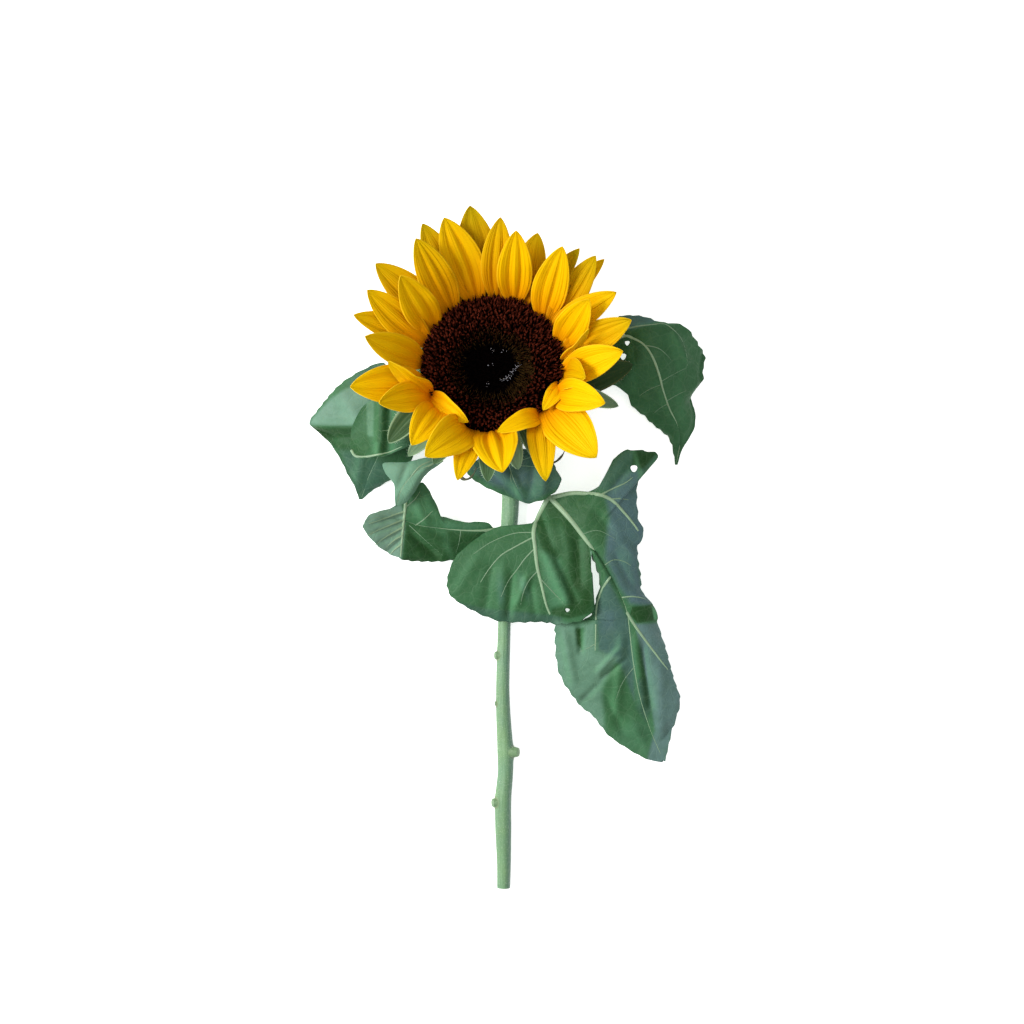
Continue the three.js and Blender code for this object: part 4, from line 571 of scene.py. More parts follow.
def new_piece(name, points, faces, materials, uv=None, values=None, slots=None):
    """A mesh object at the origin from points in millimetres and faces of one length, with a UV pair
    and named values for each point, and a material number for each face."""
    mesh = bpy.data.meshes.new(name)
    points = np.reshape(points, (-1, 3))
    faces = np.asarray(faces, np.int32)
    corners = faces.reshape(-1)
    mesh.vertices.add(len(points))
    mesh.vertices.foreach_set("co", (np.asarray(points, np.float32) * MM).reshape(-1))
    mesh.loops.add(len(corners))
    mesh.loops.foreach_set("vertex_index", corners)
    mesh.polygons.add(len(faces))
    mesh.polygons.foreach_set("loop_start", np.arange(0, len(corners), faces.shape[1], dtype=np.int32))
    if slots is not None:
        mesh.polygons.foreach_set("material_index", np.asarray(slots, np.int32))
    if uv is not None:
        layer = mesh.uv_layers.new(name="Blade")
        layer.data.foreach_set("uv", np.asarray(uv, np.float32)[corners].reshape(-1))
    for key, numbers in (values or {}).items():
        layer = mesh.attributes.new(key, "FLOAT", "POINT")
        layer.data.foreach_set("value", np.asarray(numbers, np.float32))
    for material in materials:
        mesh.materials.append(material)
    mesh.update(calc_edges=True)
    mesh.validate()
    mesh.shade_smooth()
    piece = bpy.data.objects.new(name, mesh)
    bpy.context.scene.collection.objects.link(piece)
    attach(piece, BODY)
    return piece


def thicken(piece, thickness, under_slot=0):
    """Solidify on the side that the faces point to, with another material on the side left behind."""
    modifier = piece.modifiers.new("Thickness", "SOLIDIFY")
    modifier.thickness = thickness
    modifier.offset = 1.0
    modifier.use_even_offset = False
    modifier.material_offset = 0
    modifier.material_offset = under_slot
    return modifier


def tube(centres, radii, sides, squash=1.0):
    """Rings of points round a path: radius times the cosine of the turn sideways and its sine, times
    squash, upwards. The sideways direction is square to the path and level."""
    way = unit(np.gradient(centres, axis=0))
    side = unit(np.cross(way, [0.0, 0.0, 1.0]))
    over = np.cross(side, way)
    turn = np.linspace(0, 2 * np.pi, sides, endpoint=False)[None, :, None]
    radii = np.broadcast_to(radii, (len(centres),))[:, None, None]
    return centres[:, None] + radii * (np.cos(turn) * side[:, None] + squash * np.sin(turn) * over[:, None])


def tube_quads(rows, sides):
    """Faces of a tube's wall that point outwards."""
    return grid_quads(rows, sides, ring=True)[:, ::-1]


def tube_part(centres, radii, sides, squash=1.0, value=0):
    """A tube as a part for stack_parts."""
    return tube(centres, radii, sides, squash), tube_quads(len(centres) - 1, sides), value


def needles(roots, directions, lengths, radius):
    """Three-sided hairs: a triangle of the given radius at the root, drawn to a point."""
    directions = unit(directions)
    helper = np.where(np.abs(directions[:, 2:3]) < 0.9, [[0.0, 0.0, 1.0]], [[1.0, 0.0, 0.0]])
    side = unit(np.cross(directions, helper))
    over = np.cross(directions, side)
    turn = 2 * np.pi * np.arange(3) / 3
    sideways, upwards = np.cos(turn)[None, :, None], np.sin(turn)[None, :, None]
    ring = radius * (sideways * side[:, None] + upwards * over[:, None])
    tips = roots + directions * np.reshape(lengths, (-1, 1))
    points = np.concatenate([roots[:, None] + ring, tips[:, None]], axis=1)
    return points, repeated(np.array([[0, 1, 3], [1, 2, 3], [2, 0, 3]]), 4, len(roots))


# ---- Surfaces of the head ----
PETAL_GRID = (56, 36)
GROOVE_PLACES = (-0.36, 0.34)
BRACT_GRID = (26, 14)


def blade_grid(rows, columns):
    """u from 0 at the foot to 1 at the tip, and v from -1 to 1 across, at the points of a grid."""
    return np.meshgrid(np.linspace(0, 1, rows + 1), np.linspace(-1, 1, columns + 1), indexing="ij")


def blade_uv(u, v):
    """The UV pairs of a blade: along it, and across it from 0 to 1."""
    return np.stack([u, (v + 1) / 2], axis=-1).reshape(-1, 2)


def petal_outline(u):
    """Half-width share of a petal: a quarter sine up to the widest place, then a blunt point."""
    widest = 0.45
    rise = 0.42 + 0.58 * np.sin((np.pi / 2) * np.minimum(u / widest, 1))
    fall = np.maximum(1 - np.maximum((u - widest) / (1 - widest), 0) ** 2, 0) ** 0.75
    return np.maximum(0.02, rise * np.where(u < widest, 1, fall))


def bract_outline(u):
    """Half-width share of a bract: widest near its foot, drawn out to a point."""
    return np.maximum(0.02, (1 - u) ** 0.7 * (0.62 + 1.3 * u))


def arc_blade(u, v, root, bearing, rise, curl, length, width, outline, cup, turn, lift=0.0, sway=0.0):
    """The spine is an arc that starts at root, heads for bearing, climbs by rise on average and turns
    down by curl. Points lie v half-widths across it, and cup times v squared half-widths over it, with
    lift half-widths more. sway bends the spine sideways by a half sine of u, so that its tip stays."""
    start = rise + curl / 2
    slope = start - curl * u
    run = length * (np.sin(start) - np.sin(slope)) / curl
    climb = length * (np.cos(slope) - np.cos(start)) / curl
    ahead = np.array([np.cos(bearing), np.sin(bearing), 0.0])
    level = np.array([-np.sin(bearing), np.cos(bearing), 0.0])
    up = np.array([0.0, 0.0, 1.0])
    way = np.cos(slope)[..., None] * ahead + np.sin(slope)[..., None] * up
    normal = np.cross(way, level)
    roll = (turn * np.minimum(1, 1.6 * u))[..., None]
    across = np.cos(roll) * level + np.sin(roll) * normal
    face = np.cross(way, across)
    half = (width / 2 * outline(u))[..., None]
    v = v[..., None]
    spine = root + run[..., None] * ahead + climb[..., None] * up
    spine = spine + (sway * length * np.sin(np.pi * u))[..., None] * level
    points = spine + v * half * across + (cup * v * v + np.asarray(lift)[..., None]) * half * face
    points[..., 2] = np.maximum(points[..., 2], 0)
    return points


def petal_arc(petal):
    """What arc_blade needs for one petal. Its climb brings its tip to its place in plan."""
    curl = np.radians(petal["curl"])
    root = head_point(PETAL_ROOT_RADIUS, np.radians(petal["foot"]), PETAL_ROOT_HEIGHT[petal["ring"]])
    tip = np.radians(petal["bearing"])
    dx = PETAL_HUB[0] + petal["reach"] * np.cos(tip) - root[0]
    dy = PETAL_HUB[1] + petal["reach"] * np.sin(tip) - root[1]
    chord = petal["length"] * np.sin(curl / 2) / (curl / 2)
    run = min(np.hypot(dx, dy), 0.99 * chord)
    return {
        "root": root, "bearing": np.arctan2(dy, dx), "rise": np.arccos(run / chord), "curl": curl,
        "length": petal["length"], "width": petal["width"], "outline": petal_outline,
        "cup": petal["cup"], "turn": np.radians(petal["turn"]),
    }


def petal_sheet(petal, index):
    """A petal's face. Two grooves along it are gaussians of v, between them stands a low keel, fine
    pleats are a sine of v, and the margins turn down and wave a little."""
    draw = np.random.default_rng(100 + index)
    u, v = blade_grid(*PETAL_GRID)
    u = 1 - (1 - u) ** 1.25
    body = np.sin(np.pi * np.clip(u * 0.98 + 0.02, 0, 1)) ** 0.6
    left, right = (place + 0.12 * draw.normal() * 0.5 for place in GROOVE_PLACES)
    grooves = bell(v - left, 0.13) + 0.85 * bell(v - right, 0.12)
    keel = 0.55 * bell(v - (left + right) / 2, 0.2)
    phase = draw.random(4) * 2 * np.pi
    wave = 0.05 * np.sign(v) * np.abs(v) ** 3 * np.sin(2 * np.pi * (1.2 + draw.random()) * u + phase[0])
    wave = wave + 0.03 * np.abs(v) ** 3 * np.sin(2 * np.pi * 2.6 * u + phase[1])
    pleats = 0.014 * np.sin(2 * np.pi * 5.2 * v + phase[2]) + 0.008 * np.sin(2 * np.pi * 9.3 * v + phase[3])
    edges = -0.10 * smooth_step(0.75, 1.0, np.abs(v))
    lift = (petal["fold"] * (keel - grooves) + pleats + edges) * body + wave * body
    sway = 0.035 * (draw.random() - 0.5)
    points = arc_blade(u, v, **petal_arc(petal), lift=lift, sway=sway)
    # Painted shade in the grooves: how far the fine lines darken to deep orange there
    groove = (petal["fold"] / 0.16 * grooves * body).reshape(-1)
    lined = 0.4 + 0.6 * max(0, np.sin(np.radians(petal["bearing"])))
    # shade is how much painted shade the petal gets
    values = {"shade": np.full(groove.shape, petal["shade"]), "groove": np.clip(groove, 0, 1),
              "lot": np.full(groove.shape, draw.random()), "lined": np.full(groove.shape, lined)}
    return points.reshape(-1, 3), grid_quads(*PETAL_GRID)[:, ::-1], blade_uv(u, v), values


def bract_arc(row, bearing, heading, rise, curl, length, cup, turn):
    """What arc_blade needs for one bract."""
    return {
        "root": head_point(row["radius"], bearing, row["height"]), "bearing": heading, "rise": rise,
        "curl": curl, "length": length, "width": row["width"], "outline": bract_outline, "cup": cup,
        "turn": turn,
    }


def bract_arcs():
    """What arc_blade needs for each bract, row by row from the rim to the neck, then the loose ones,
    and how much painted shade each gets: more nearer the neck, and painted light below 0."""
    draws = drawn_numbers(7)
    arcs = []
    for number, row in enumerate(BRACT_ROWS):
        for index in range(row["count"]):
            bearing = np.radians(row["first"] + 360 * index / row["count"] + 6 * (next(draws) - 0.5))
            away = max(0.0, np.sin(bearing))
            tilt = HEAD_TILT * np.sin(bearing)
            close = [length for place, length in LONG_BRACTS.items()
                     if number == 0
                     and abs(np.radians(place) - bearing % (2 * np.pi)) < np.pi / row["count"]]
            curl = 0.5 + 0.2 * next(draws)
            if close:
                length = close[0]
            else:
                longer = 0.25 * away if row["droop"] > 20 else 0
                length = row["length"] * (0.92 + 0.2 * next(draws) + longer)
            rise = np.radians(row["rise"] - row["droop"] * away) - tilt
            turn = 0.4 * (next(draws) - 0.5)
            arc = bract_arc(row, bearing, bearing, rise, curl, length, 0.2, turn)
            # Rows nearer the neck get more painted shade, the rim row painted light
            arcs.append((arc, 0.5 * number - 0.2))
    for row in LOOSE_BRACTS:
        bearing, heading, rise, turn = (
            np.radians(row[key]) for key in ("bearing", "heading", "rise", "turn"))
        arc = bract_arc(row, bearing, heading, rise, 0.5, row["length"], row["cup"], turn)
        arcs.append((arc, row["tone"]))
    return arcs


def disc_height(radius):
    """Height of the floret disc over the cup: sunken in the middle, raised towards its edge."""
    profile = np.array(DISC_PROFILE)
    return np.interp(radius, profile[:, 0], profile[:, 1])


def floret(rings, sides):
    """A floret of unit size: its points, its faces and how near each point is to the tip."""
    turn = 2 * np.pi * np.arange(sides) / sides
    odd = np.arange(sides) % 2
    radius, height, tip = (rings[:, [k]] + rings[:, [k + 1]] * odd for k in (0, 2, 4))
    points = np.stack([radius * np.cos(turn), radius * np.sin(turn), height], axis=-1)
    return points.reshape(-1, 3), grid_quads(len(rings) - 1, sides, ring=True), tip.reshape(-1)


# ---- Surfaces of the leaves ----
# The way the light comes from in plan, how strongly the folds show it as painted light and shade, how far
# side veins sweep towards the tip, and the points along and round the ridges, stalks and keels.
LIGHT_SIDE = np.array([-0.95, 0.3])
FOLD_LIGHT_SHARE = 0.75
VEIN_SWEEP = 0.04
VEIN_STEPS = 30
VEIN_REACH = 0.95
VEIN_SIDES = 8
VEIN_SQUASH = 0.55
RIB_STEPS = 90
KEEL_STEPS = 80
STALK_STEPS = 60
STALK_SIDES = 14
TOOTH_STEP = 6.5


def settled_height(z):
    """Low places of a leaf have sunk until they lie flat on the surface."""
    return np.where(z > 2 * SETTLE, z, np.maximum(0, 2 * (z - SETTLE)))


class Leaf:
    """The sheet of one leaf as a function of u, from foot to tip, and v, from margin to margin."""

    def __init__(self, name, rows):
        self.rows = rows
        self.margins = [np.array(margin, float) for margin in rows["margins"]]
        self.places = np.linspace(0, 1, 1201)
        lines = [self.edge_line(self.places, 0), self.edge_line(self.places, 1),
                 along(rows["midrib"], self.places)]
        walked = [np.append(0, np.cumsum(np.linalg.norm(np.diff(line, axis=0), axis=1))) for line in lines]
        self.edge_walked = walked[:2]
        self.walked = sum(walked) / sum(way[-1] for way in walked)
        self.draw = np.random.default_rng(sum(map(ord, name)))
        self.phase = self.draw.random(6) * 2 * np.pi

    def edge_line(self, place, side):
        """The margin on one side where the vein from place ends."""
        margin = self.margins[side]
        share = np.interp(place, margin[:, 0], np.linspace(0, 1, len(margin)))
        return loose_curve(margin[:, 1:], share)

    def rows_at(self, places):
        """Where on the way from foot to tip, as u, a vein from each of the places springs."""
        return np.interp(places, self.places, self.walked)

    def vein_phase(self, u, v, side):
        """Counts the side veins passed on the way to u, with each vein swept towards the tip."""
        starts = np.concatenate([[0.0], self.rows_at(self.rows["side_veins"][side]), [1.0]])
        return np.interp(u - VEIN_SWEEP * v * v, starts, np.arange(len(starts)))

    def relief(self, points):
        """Height of the folds and their slope towards the light: each is a gaussian across its line and
        fades past its ends."""
        height = np.zeros(points.shape[:-1])
        slope = np.zeros(points.shape[:-1])
        for x0, y0, x1, y1, width, rise in self.rows["folds"]:
            way = np.array([x1 - x0, y1 - y0])
            length = np.linalg.norm(way)
            way = way / length
            offset = points[..., :2] - [x0, y0]
            ahead = offset @ way
            aside = offset @ np.array([-way[1], way[0]])
            past = np.maximum(np.maximum(-ahead, ahead - length), 0)
            fold = rise * np.exp(-((aside / width) ** 2) - (past / (1.6 * width)) ** 2)
            height = height + fold
            slope = slope + 2 * aside / width**2 * fold * (np.array([-way[1], way[0]]) @ LIGHT_SIDE)
        return height, slope

    def points(self, u, v, quilt=0.0):
        """Straight from the midrib to the margin and bowed between them. Teeth push the margin
        outwards, waves lift it, quilt puffs the blade up between its side veins, and folds cross it."""
        rows = self.rows
        place = np.interp(np.clip(u, 0, 1), self.walked, self.places)
        rib = along(rows["midrib"], place)
        is_left = v < 0
        edge = np.where(is_left[..., None], self.edge_line(place, 0), self.edge_line(place, 1))
        walk = np.where(is_left, np.interp(place, self.places, self.edge_walked[0]),
                        np.interp(place, self.places, self.edge_walked[1]))
        out = edge - rib
        out[..., 2] = 0
        out = unit(out)
        middle = np.sqrt(np.maximum(np.sin(np.pi * np.clip(u, 0, 1)), 0))
        saw = (walk / TOOTH_STEP + 0.35 * np.sin(walk / 9 + self.phase[0])) % 1
        tooth = rows["teeth"] * (np.where(saw < 0.7, saw / 0.7, (1 - saw) / 0.3) - 0.35)
        away = np.abs(v)
        points = rib + (edge - rib) * away[..., None]
        points = points + out * (tooth * middle * away**6)[..., None]
        puff = np.sin(np.pi * np.where(is_left, self.vein_phase(u, v, 0), self.vein_phase(u, v, 1))) ** 2
        wave = 0.7 * np.sin(walk / 5.2 + self.phase[1]) + 0.5 * np.sin(walk / 2.9 + self.phase[2])
        height = 4 * rows["bow"] * away * (1 - away) * np.sin(np.pi * np.clip(u, 0, 1))
        height = height + quilt * puff * np.sqrt(away) * (1 - away) * 2.2 * middle
        height = height + wave * (1 if rows["teeth"] else 0.3) * away**3 * middle * 0.8
        height = height + self.relief(points)[0] * middle
        points[..., 2] = settled_height(points[..., 2] + height)
        return points

    def tints(self, points):
        """Shares of painted sheen, of deep green partly painted shade, of fresh green partly painted light
        and of pale green painted light, and the painted light and shade of the folds. A zone replaces what
        lies under it, by a soft step of the distance to its outline, and a patch is a bell over its ellipse."""
        shares = np.zeros((4, len(points)))
        for outline, soft, *amounts in self.rows["zones"]:
            cover = smooth_step(-soft, soft, depth_inside(points[:, :2], outline))
            amounts = np.append(amounts, np.zeros(4 - len(amounts)))
            shares = shares + cover * (amounts[:, None] - shares)
        for x, y, wide, high, turn, *amounts in self.rows["patches"]:
            cos, sin = np.cos(np.radians(turn)), np.sin(np.radians(turn))
            ahead = (points[:, 0] - x) * cos + (points[:, 1] - y) * sin
            aside = (points[:, 1] - y) * cos - (points[:, 0] - x) * sin
            cover = np.exp(-(((ahead / wide) ** 2 + (aside / high) ** 2) ** 1.4))
            shares[:3] = shares[:3] + cover * np.array(amounts)[:, None] * (1 - shares[:3])
        # Painted light and shade of the folds, by their slope towards the light
        crease = np.clip(FOLD_LIGHT_SHARE * self.relief(points)[1], -1, 1)
        return {"waxy": shares[0], "deep": shares[1], "fresh": shares[2], "pale": shares[3],
                "crease": crease}

    def sheet(self, quilt):
        """The blade's grid, with the faces inside holes left out and their rims drawn to a circle."""
        u, v = blade_grid(*self.rows["grid"])
        points = self.points(u, v, quilt).reshape(-1, 3)
        quads = grid_quads(*self.rows["grid"])[:, ::-1]
        for x, y, radius in self.rows["holes"]:
            away = points[:, :2] - [x, y]
            distance = np.linalg.norm(away, axis=1)
            centre = np.linalg.norm(points[quads].mean(axis=1)[:, :2] - [x, y], axis=1)
            keep = centre > radius
            rim = np.intersect1d(quads[keep], quads[~keep])
            points[rim, :2] += away[rim] / np.maximum(distance[rim], 1e-6)[:, None] * (
                radius * (1 + 0.12 * np.sin(3 * np.arctan2(away[rim, 1], away[rim, 0]))) - distance[rim]
            )[:, None]
            quads = quads[keep]
        return points, quads, blade_uv(u, v), self.tints(points)

    def draped(self, route, surface, steps=48):
        """A route given in plan, at the height of the nearest points of the blade's surface."""
        line = along([[x, y, 0] for x, y in route], np.linspace(0, 1, steps))[:, :2]
        apart = ((surface[None, :, :2] - line[:, None]) ** 2).sum(axis=-1)
        near = np.argpartition(apart, 4, axis=1)[:, :4]
        weight = 1 / (np.take_along_axis(apart, near, axis=1) + 0.02)
        height = (surface[near, 2] * weight).sum(axis=1) / weight.sum(axis=1)
        return np.column_stack([line, height])

    def vein_routes(self, quilt, surface):
        """Main veins by their routes, and side veins by their places on the midrib."""
        veins = []
        for thick, route in self.rows["main_veins"]:
            veins.append((self.draped(route, surface), thick, 0.35 * thick))
        for side, sign in ((0, -1), (1, 1)):
            for start in self.rows_at(self.rows["side_veins"][side]):
                away = VEIN_REACH * np.linspace(0, 1, VEIN_STEPS)
                u = start + VEIN_SWEEP * away**2
                veins.append((self.points(u, sign * away, quilt), 0.2, 0.06))
        return veins


def stem_route():
    """Middle of the stem: straight out of the head, a quarter turn down to the surface, then level."""
    lean = HEAD_TILT + np.linspace(0, 1, 5) * (np.pi / 2 - HEAD_TILT)
    top = head_point(0.0, 0.0, -CUP_DEPTH - SEAT - NECK_LEAD)
    y = top[1] + NECK_BEND * (np.cos(lean) - np.cos(HEAD_TILT))
    z = top[2] - NECK_BEND * (np.sin(lean) - np.sin(HEAD_TILT))
    neck = np.column_stack([np.full(5, top[0]), y, z])
    start = head_point(0.0, 0.0, -CUP_DEPTH - SEAT)
    lying = np.array([[x, y, radius] for x, y, radius in LYING_STEM])
    return np.vstack([start, neck, lying])


def stem_radius(y):
    """Radius of the stem at a place on its lying stretch; the neck has its own."""
    places = np.array(LYING_STEM)[::-1]
    return np.where(y >= LYING_STEM[0][1], NECK_RADIUS, np.interp(y, places[:, 1], places[:, 2]))


def stem_centre(y):
    """The place on the stem's middle with a given y."""
    line = along(stem_route(), np.linspace(0, 1, 601))
    return line[np.argmin(np.abs(line[:, 1] - y))]


def out_of_stem(degrees):
    """The way out of the stem's side at a turn from +X towards +Z."""
    turn = np.radians(degrees)
    return np.array([np.cos(turn), 0, np.sin(turn)])


def petiole_route(rows):
    """From the stem's side, straight out for 2 mm, by the leaf's own places, to the foot of the blade."""
    petiole = rows["petiole"]
    out = out_of_stem(petiole["turn"])
    root = stem_centre(petiole["y"]) + out * (stem_radius(petiole["y"]) - 0.4)
    foot = np.array(rows["midrib"][:2], float)
    foot[1] = foot[0] + 0.6 * (foot[1] - foot[0])
    return np.vstack([root, root + 2 * out, *petiole["by"], foot])


# ---- Shader helpers ----
SURFACE = "Principled BSDF"


def feed(tree, node, key, value):
    """Links an input of a node to a socket, or sets it to a value."""
    if isinstance(value, bpy.types.NodeSocket):
        tree.links.new(value, node.inputs[key])
    else:
        node.inputs[key].default_value = value


def shader(tree, kind, inputs=None, **settings):
    """A node with its settings, and each input set to a value or linked to a socket."""
    node = tree.nodes.new(kind)
    for key, value in settings.items():
        setattr(node, key, value)
    for key, value in (inputs or {}).items():
        feed(tree, node, key, value)
    return node


def math(tree, operation, first, second=0.0, third=None, clamp=False):
    """The output of a Math node."""
    inputs = {0: first, 1: second} if third is None else {0: first, 1: second, 2: third}
    return shader(tree, "ShaderNodeMath", inputs, operation=operation, use_clamp=clamp).outputs[0]


def times(tree, first, second):
    """The product of two numbers."""
    return math(tree, "MULTIPLY", first, second)


def scaled(colour, share):
    """A colour times a number."""
    return tuple(share * c for c in colour[:3])


def mix_colours(tree, share, first, second):
    """The output of a colour Mix node."""
    node = shader(tree, "ShaderNodeMix", {0: share}, data_type="RGBA")
    for index, value in ((6, first), (7, second)):
        is_socket = isinstance(value, bpy.types.NodeSocket)
        feed(tree, node, index, value if is_socket else (*value[:3], 1.0))
    return node.outputs[2]


def layered(tree, colour, *layers):
    """A colour with others laid over it, each given with its share."""
    for share, tint in layers:
        colour = mix_colours(tree, share, colour, tint)
    return colour


def spread(tree, value, low, high, to_low=0.0, to_high=1.0):
    """The output of a Map Range node."""
    node = shader(tree, "ShaderNodeMapRange", {
        "Value": value, "From Min": low, "From Max": high, "To Min": to_low, "To Max": to_high})
    return node.outputs["Result"]


def effect_group(name, **numbers):
    """A node group that makes a Mask from a Vector and numbers: its tree, input sockets and output."""
    tree = bpy.data.node_groups.new(name, "ShaderNodeTree")
    tree.interface.new_socket("Vector", in_out="INPUT", socket_type="NodeSocketVector")
    for key, default in numbers.items():
        socket = tree.interface.new_socket(key, in_out="INPUT", socket_type="NodeSocketFloat")
        socket.default_value = default
    tree.interface.new_socket("Mask", in_out="OUTPUT", socket_type="NodeSocketFloat")
    given = tree.nodes.new("NodeGroupInput").outputs
    return tree, given, tree.nodes.new("NodeGroupOutput").inputs["Mask"]


def mottle_group():
    """Cloudy mask from 0 to 1: fractal noise, stretched about its middle by Contrast."""
    tree, given, mask = effect_group("Mottle", Scale=200.0, Contrast=2.0)
    noise = shader(tree, "ShaderNodeTexNoise", {
        "Vector": given["Vector"], "Scale": given["Scale"], "Detail": 5.0, "Roughness": 0.6})
    centred = math(tree, "SUBTRACT", noise.outputs["Fac"], 0.5)
    tree.links.new(math(tree, "ADD", times(tree, centred, given["Contrast"]), 0.5, clamp=True), mask)


def ribs_group():
    """Lines along a blade: noise that is drawn out along it, Count times finer across it, and a sine
    across it. Lot gives each blade its own lines, and Sharpness thins them."""
    tree, given, mask = effect_group("Blade ribs", Lot=0.0, Count=12.0, Sharpness=2.0)
    parts = shader(tree, "ShaderNodeSeparateXYZ", {"Vector": given["Vector"]}).outputs
    across = times(tree, parts["Y"], given["Count"])
    drawn = shader(tree, "ShaderNodeCombineXYZ", {
        "X": times(tree, parts["X"], 0.9), "Y": across, "Z": times(tree, given["Lot"], 40.0)})
    noise = shader(tree, "ShaderNodeTexNoise", {"Vector": drawn.outputs[0], "Scale": 1.6, "Detail": 2.0})
    bend = times(tree, noise.outputs["Fac"], 0.6)
    angle = times(tree, math(tree, "ADD", across, bend), 2 * np.pi)
    wave = math(tree, "MULTIPLY_ADD", math(tree, "SINE", angle), 0.25, noise.outputs["Fac"])
    tree.links.new(math(tree, "POWER", wave, given["Sharpness"], clamp=True), mask)


def net_group():
    """Net of fine veins: 1 on the borders of warped cells, falling to 0 within Width of them."""
    tree, given, mask = effect_group("Vein net", Scale=300.0, Width=0.1)
    noise = shader(tree, "ShaderNodeTexNoise", {"Vector": given["Vector"], "Scale": 150.0, "Detail": 1.0})
    push = shader(tree, "ShaderNodeVectorMath", {0: noise.outputs["Color"], 1: (0.5, 0.5, 0.5)},
                  operation="SUBTRACT")
    small = shader(tree, "ShaderNodeVectorMath", {0: push.outputs[0], "Scale": 0.004}, operation="SCALE")
    moved = shader(tree, "ShaderNodeVectorMath", {0: given["Vector"], 1: small.outputs[0]}, operation="ADD")
    cells = shader(tree, "ShaderNodeTexVoronoi", {"Vector": moved.outputs[0], "Scale": given["Scale"]},
                   feature="DISTANCE_TO_EDGE")
    near = math(tree, "DIVIDE", cells.outputs["Distance"], given["Width"], clamp=True)
    tree.links.new(math(tree, "SUBTRACT", 1.0, near), mask)


def effect(tree, name, vector, **numbers):
    """The mask of an effect group placed in a tree."""
    inputs = {"Vector": vector, **numbers}
    return shader(tree, "ShaderNodeGroup", inputs, node_tree=bpy.data.node_groups[name]).outputs["Mask"]


def new_material(name, roughness, shine=0.5):
    """A material and its node tree, with the gloss that is the same all over it."""
    material = bpy.data.materials.new(name)
    material.use_nodes = True
    surface = material.node_tree.nodes[SURFACE]
    surface.inputs["Roughness"].default_value = roughness
    surface.inputs["Specular IOR Level"].default_value = shine
    return material, material.node_tree


def painted(material, colour, height=None, distance=0.0, strength=1.0):
    """The material with a colour and, where a height is given, a bump linked to its surface."""
    tree = material.node_tree
    surface = tree.nodes[SURFACE]
    tree.links.new(colour, surface.inputs["Base Color"])
    if height is not None:
        node = shader(tree, "ShaderNodeBump", {"Height": height, "Distance": distance, "Strength": strength})
        tree.links.new(node.outputs["Normal"], surface.inputs["Normal"])
    return material


def object_place(tree):
    """Coordinates in metres in the object's frame."""
    return tree.nodes.new("ShaderNodeTexCoord").outputs["Object"]


def blade_place(tree):
    """The blade's own coordinates, along it in x and across it in y, whole and in parts."""
    place = shader(tree, "ShaderNodeUVMap", uv_map="Blade").outputs["UV"]
    return place, shader(tree, "ShaderNodeSeparateXYZ", {"Vector": place}).outputs


def off_middle(tree, across):
    """How far from the middle line of a blade, from 0 to a half at its margins."""
    return math(tree, "ABSOLUTE", math(tree, "SUBTRACT", across, 0.5))


def value_of(tree, key):
    """A named value carried by the mesh."""
    return shader(tree, "ShaderNodeAttribute", attribute_name=key).outputs["Fac"]


# ---- Materials ----
def petal_material(head):
    """Yellow silk with fine lines: deep orange at the foot and, as painted shade, in the grooves, a paler rim
    painted as a highlight, and on petals that face away from the light painted shade, brown gold at the
    foot and olive at the tip."""
    material, tree = new_material("Petal", 0.6, 0.05)
    blade, parts = blade_place(tree)
    ahead = parts["X"]
    shade, groove, lot, lined = (value_of(tree, key) for key in ("shade", "groove", "lot", "lined"))
    foot = math(tree, "POWER", spread(tree, ahead, 0.62, 0.02), 1.5)
    # Painted shade of a petal that faces away from the light: brown gold at the foot, olive at the tip
    shaded = mix_colours(tree, spread(tree, ahead, 0.35, 0.95), head.petal_gap_shade_colour, head.petal_shade_colour)
    # A paler rim along the margins: painted highlight
    rim = spread(tree, off_middle(tree, parts["Y"]), 0.46, 0.5)
    ribs = effect(tree, "Blade ribs", blade, Lot=lot, Count=15.0, Sharpness=2.5)
    coarse = effect(tree, "Blade ribs", blade, Lot=lot, Count=5.0, Sharpness=4.0)
    lines = math(tree, "MULTIPLY_ADD", ribs, 0.5, times(tree, coarse, 0.3))
    # The lines darken more in the grooves, as painted shade
    lines = times(tree, math(tree, "ADD", lines, times(tree, groove, 0.2), clamp=True), lined)
    rib = mix_colours(tree, times(tree, shade, 0.8), head.petal_rib_colour,
                      scaled(head.petal_shade_colour, 0.62))
    clouds = effect(tree, "Mottle", object_place(tree), Scale=90.0, Contrast=1.8)
    colour = layered(
        tree, head.petal_colour, (foot, head.petal_foot_colour),
        (times(tree, spread(tree, ahead, 0.75, 1.0), 0.3), head.petal_tip_colour),
        (times(tree, shade, 0.9), shaded), (times(tree, rim, 0.6), head.petal_rim_highlight_colour),
        (times(tree, lines, 0.76), rib), (times(tree, clouds, 0.14), head.petal_foot_colour))
    height = math(tree, "MULTIPLY_ADD", ribs, -0.6, times(tree, coarse, -0.9))
    return painted(material, colour, height, 0.0004, 0.9)


def floret_material(name, shaded_foot_colour, high_colour):
    """Florets from a dark foot, painted shade down among them, to their tips by the value carried by the
    mesh, each a little different.
    """
    material, tree = new_material(name, 0.8, 0.0)
    colour = layered(tree, shaded_foot_colour, (value_of(tree, "tip"), high_colour),
                     (times(tree, value_of(tree, "tone"), 0.9), scaled(shaded_foot_colour, 0.25)))
    return painted(material, colour)


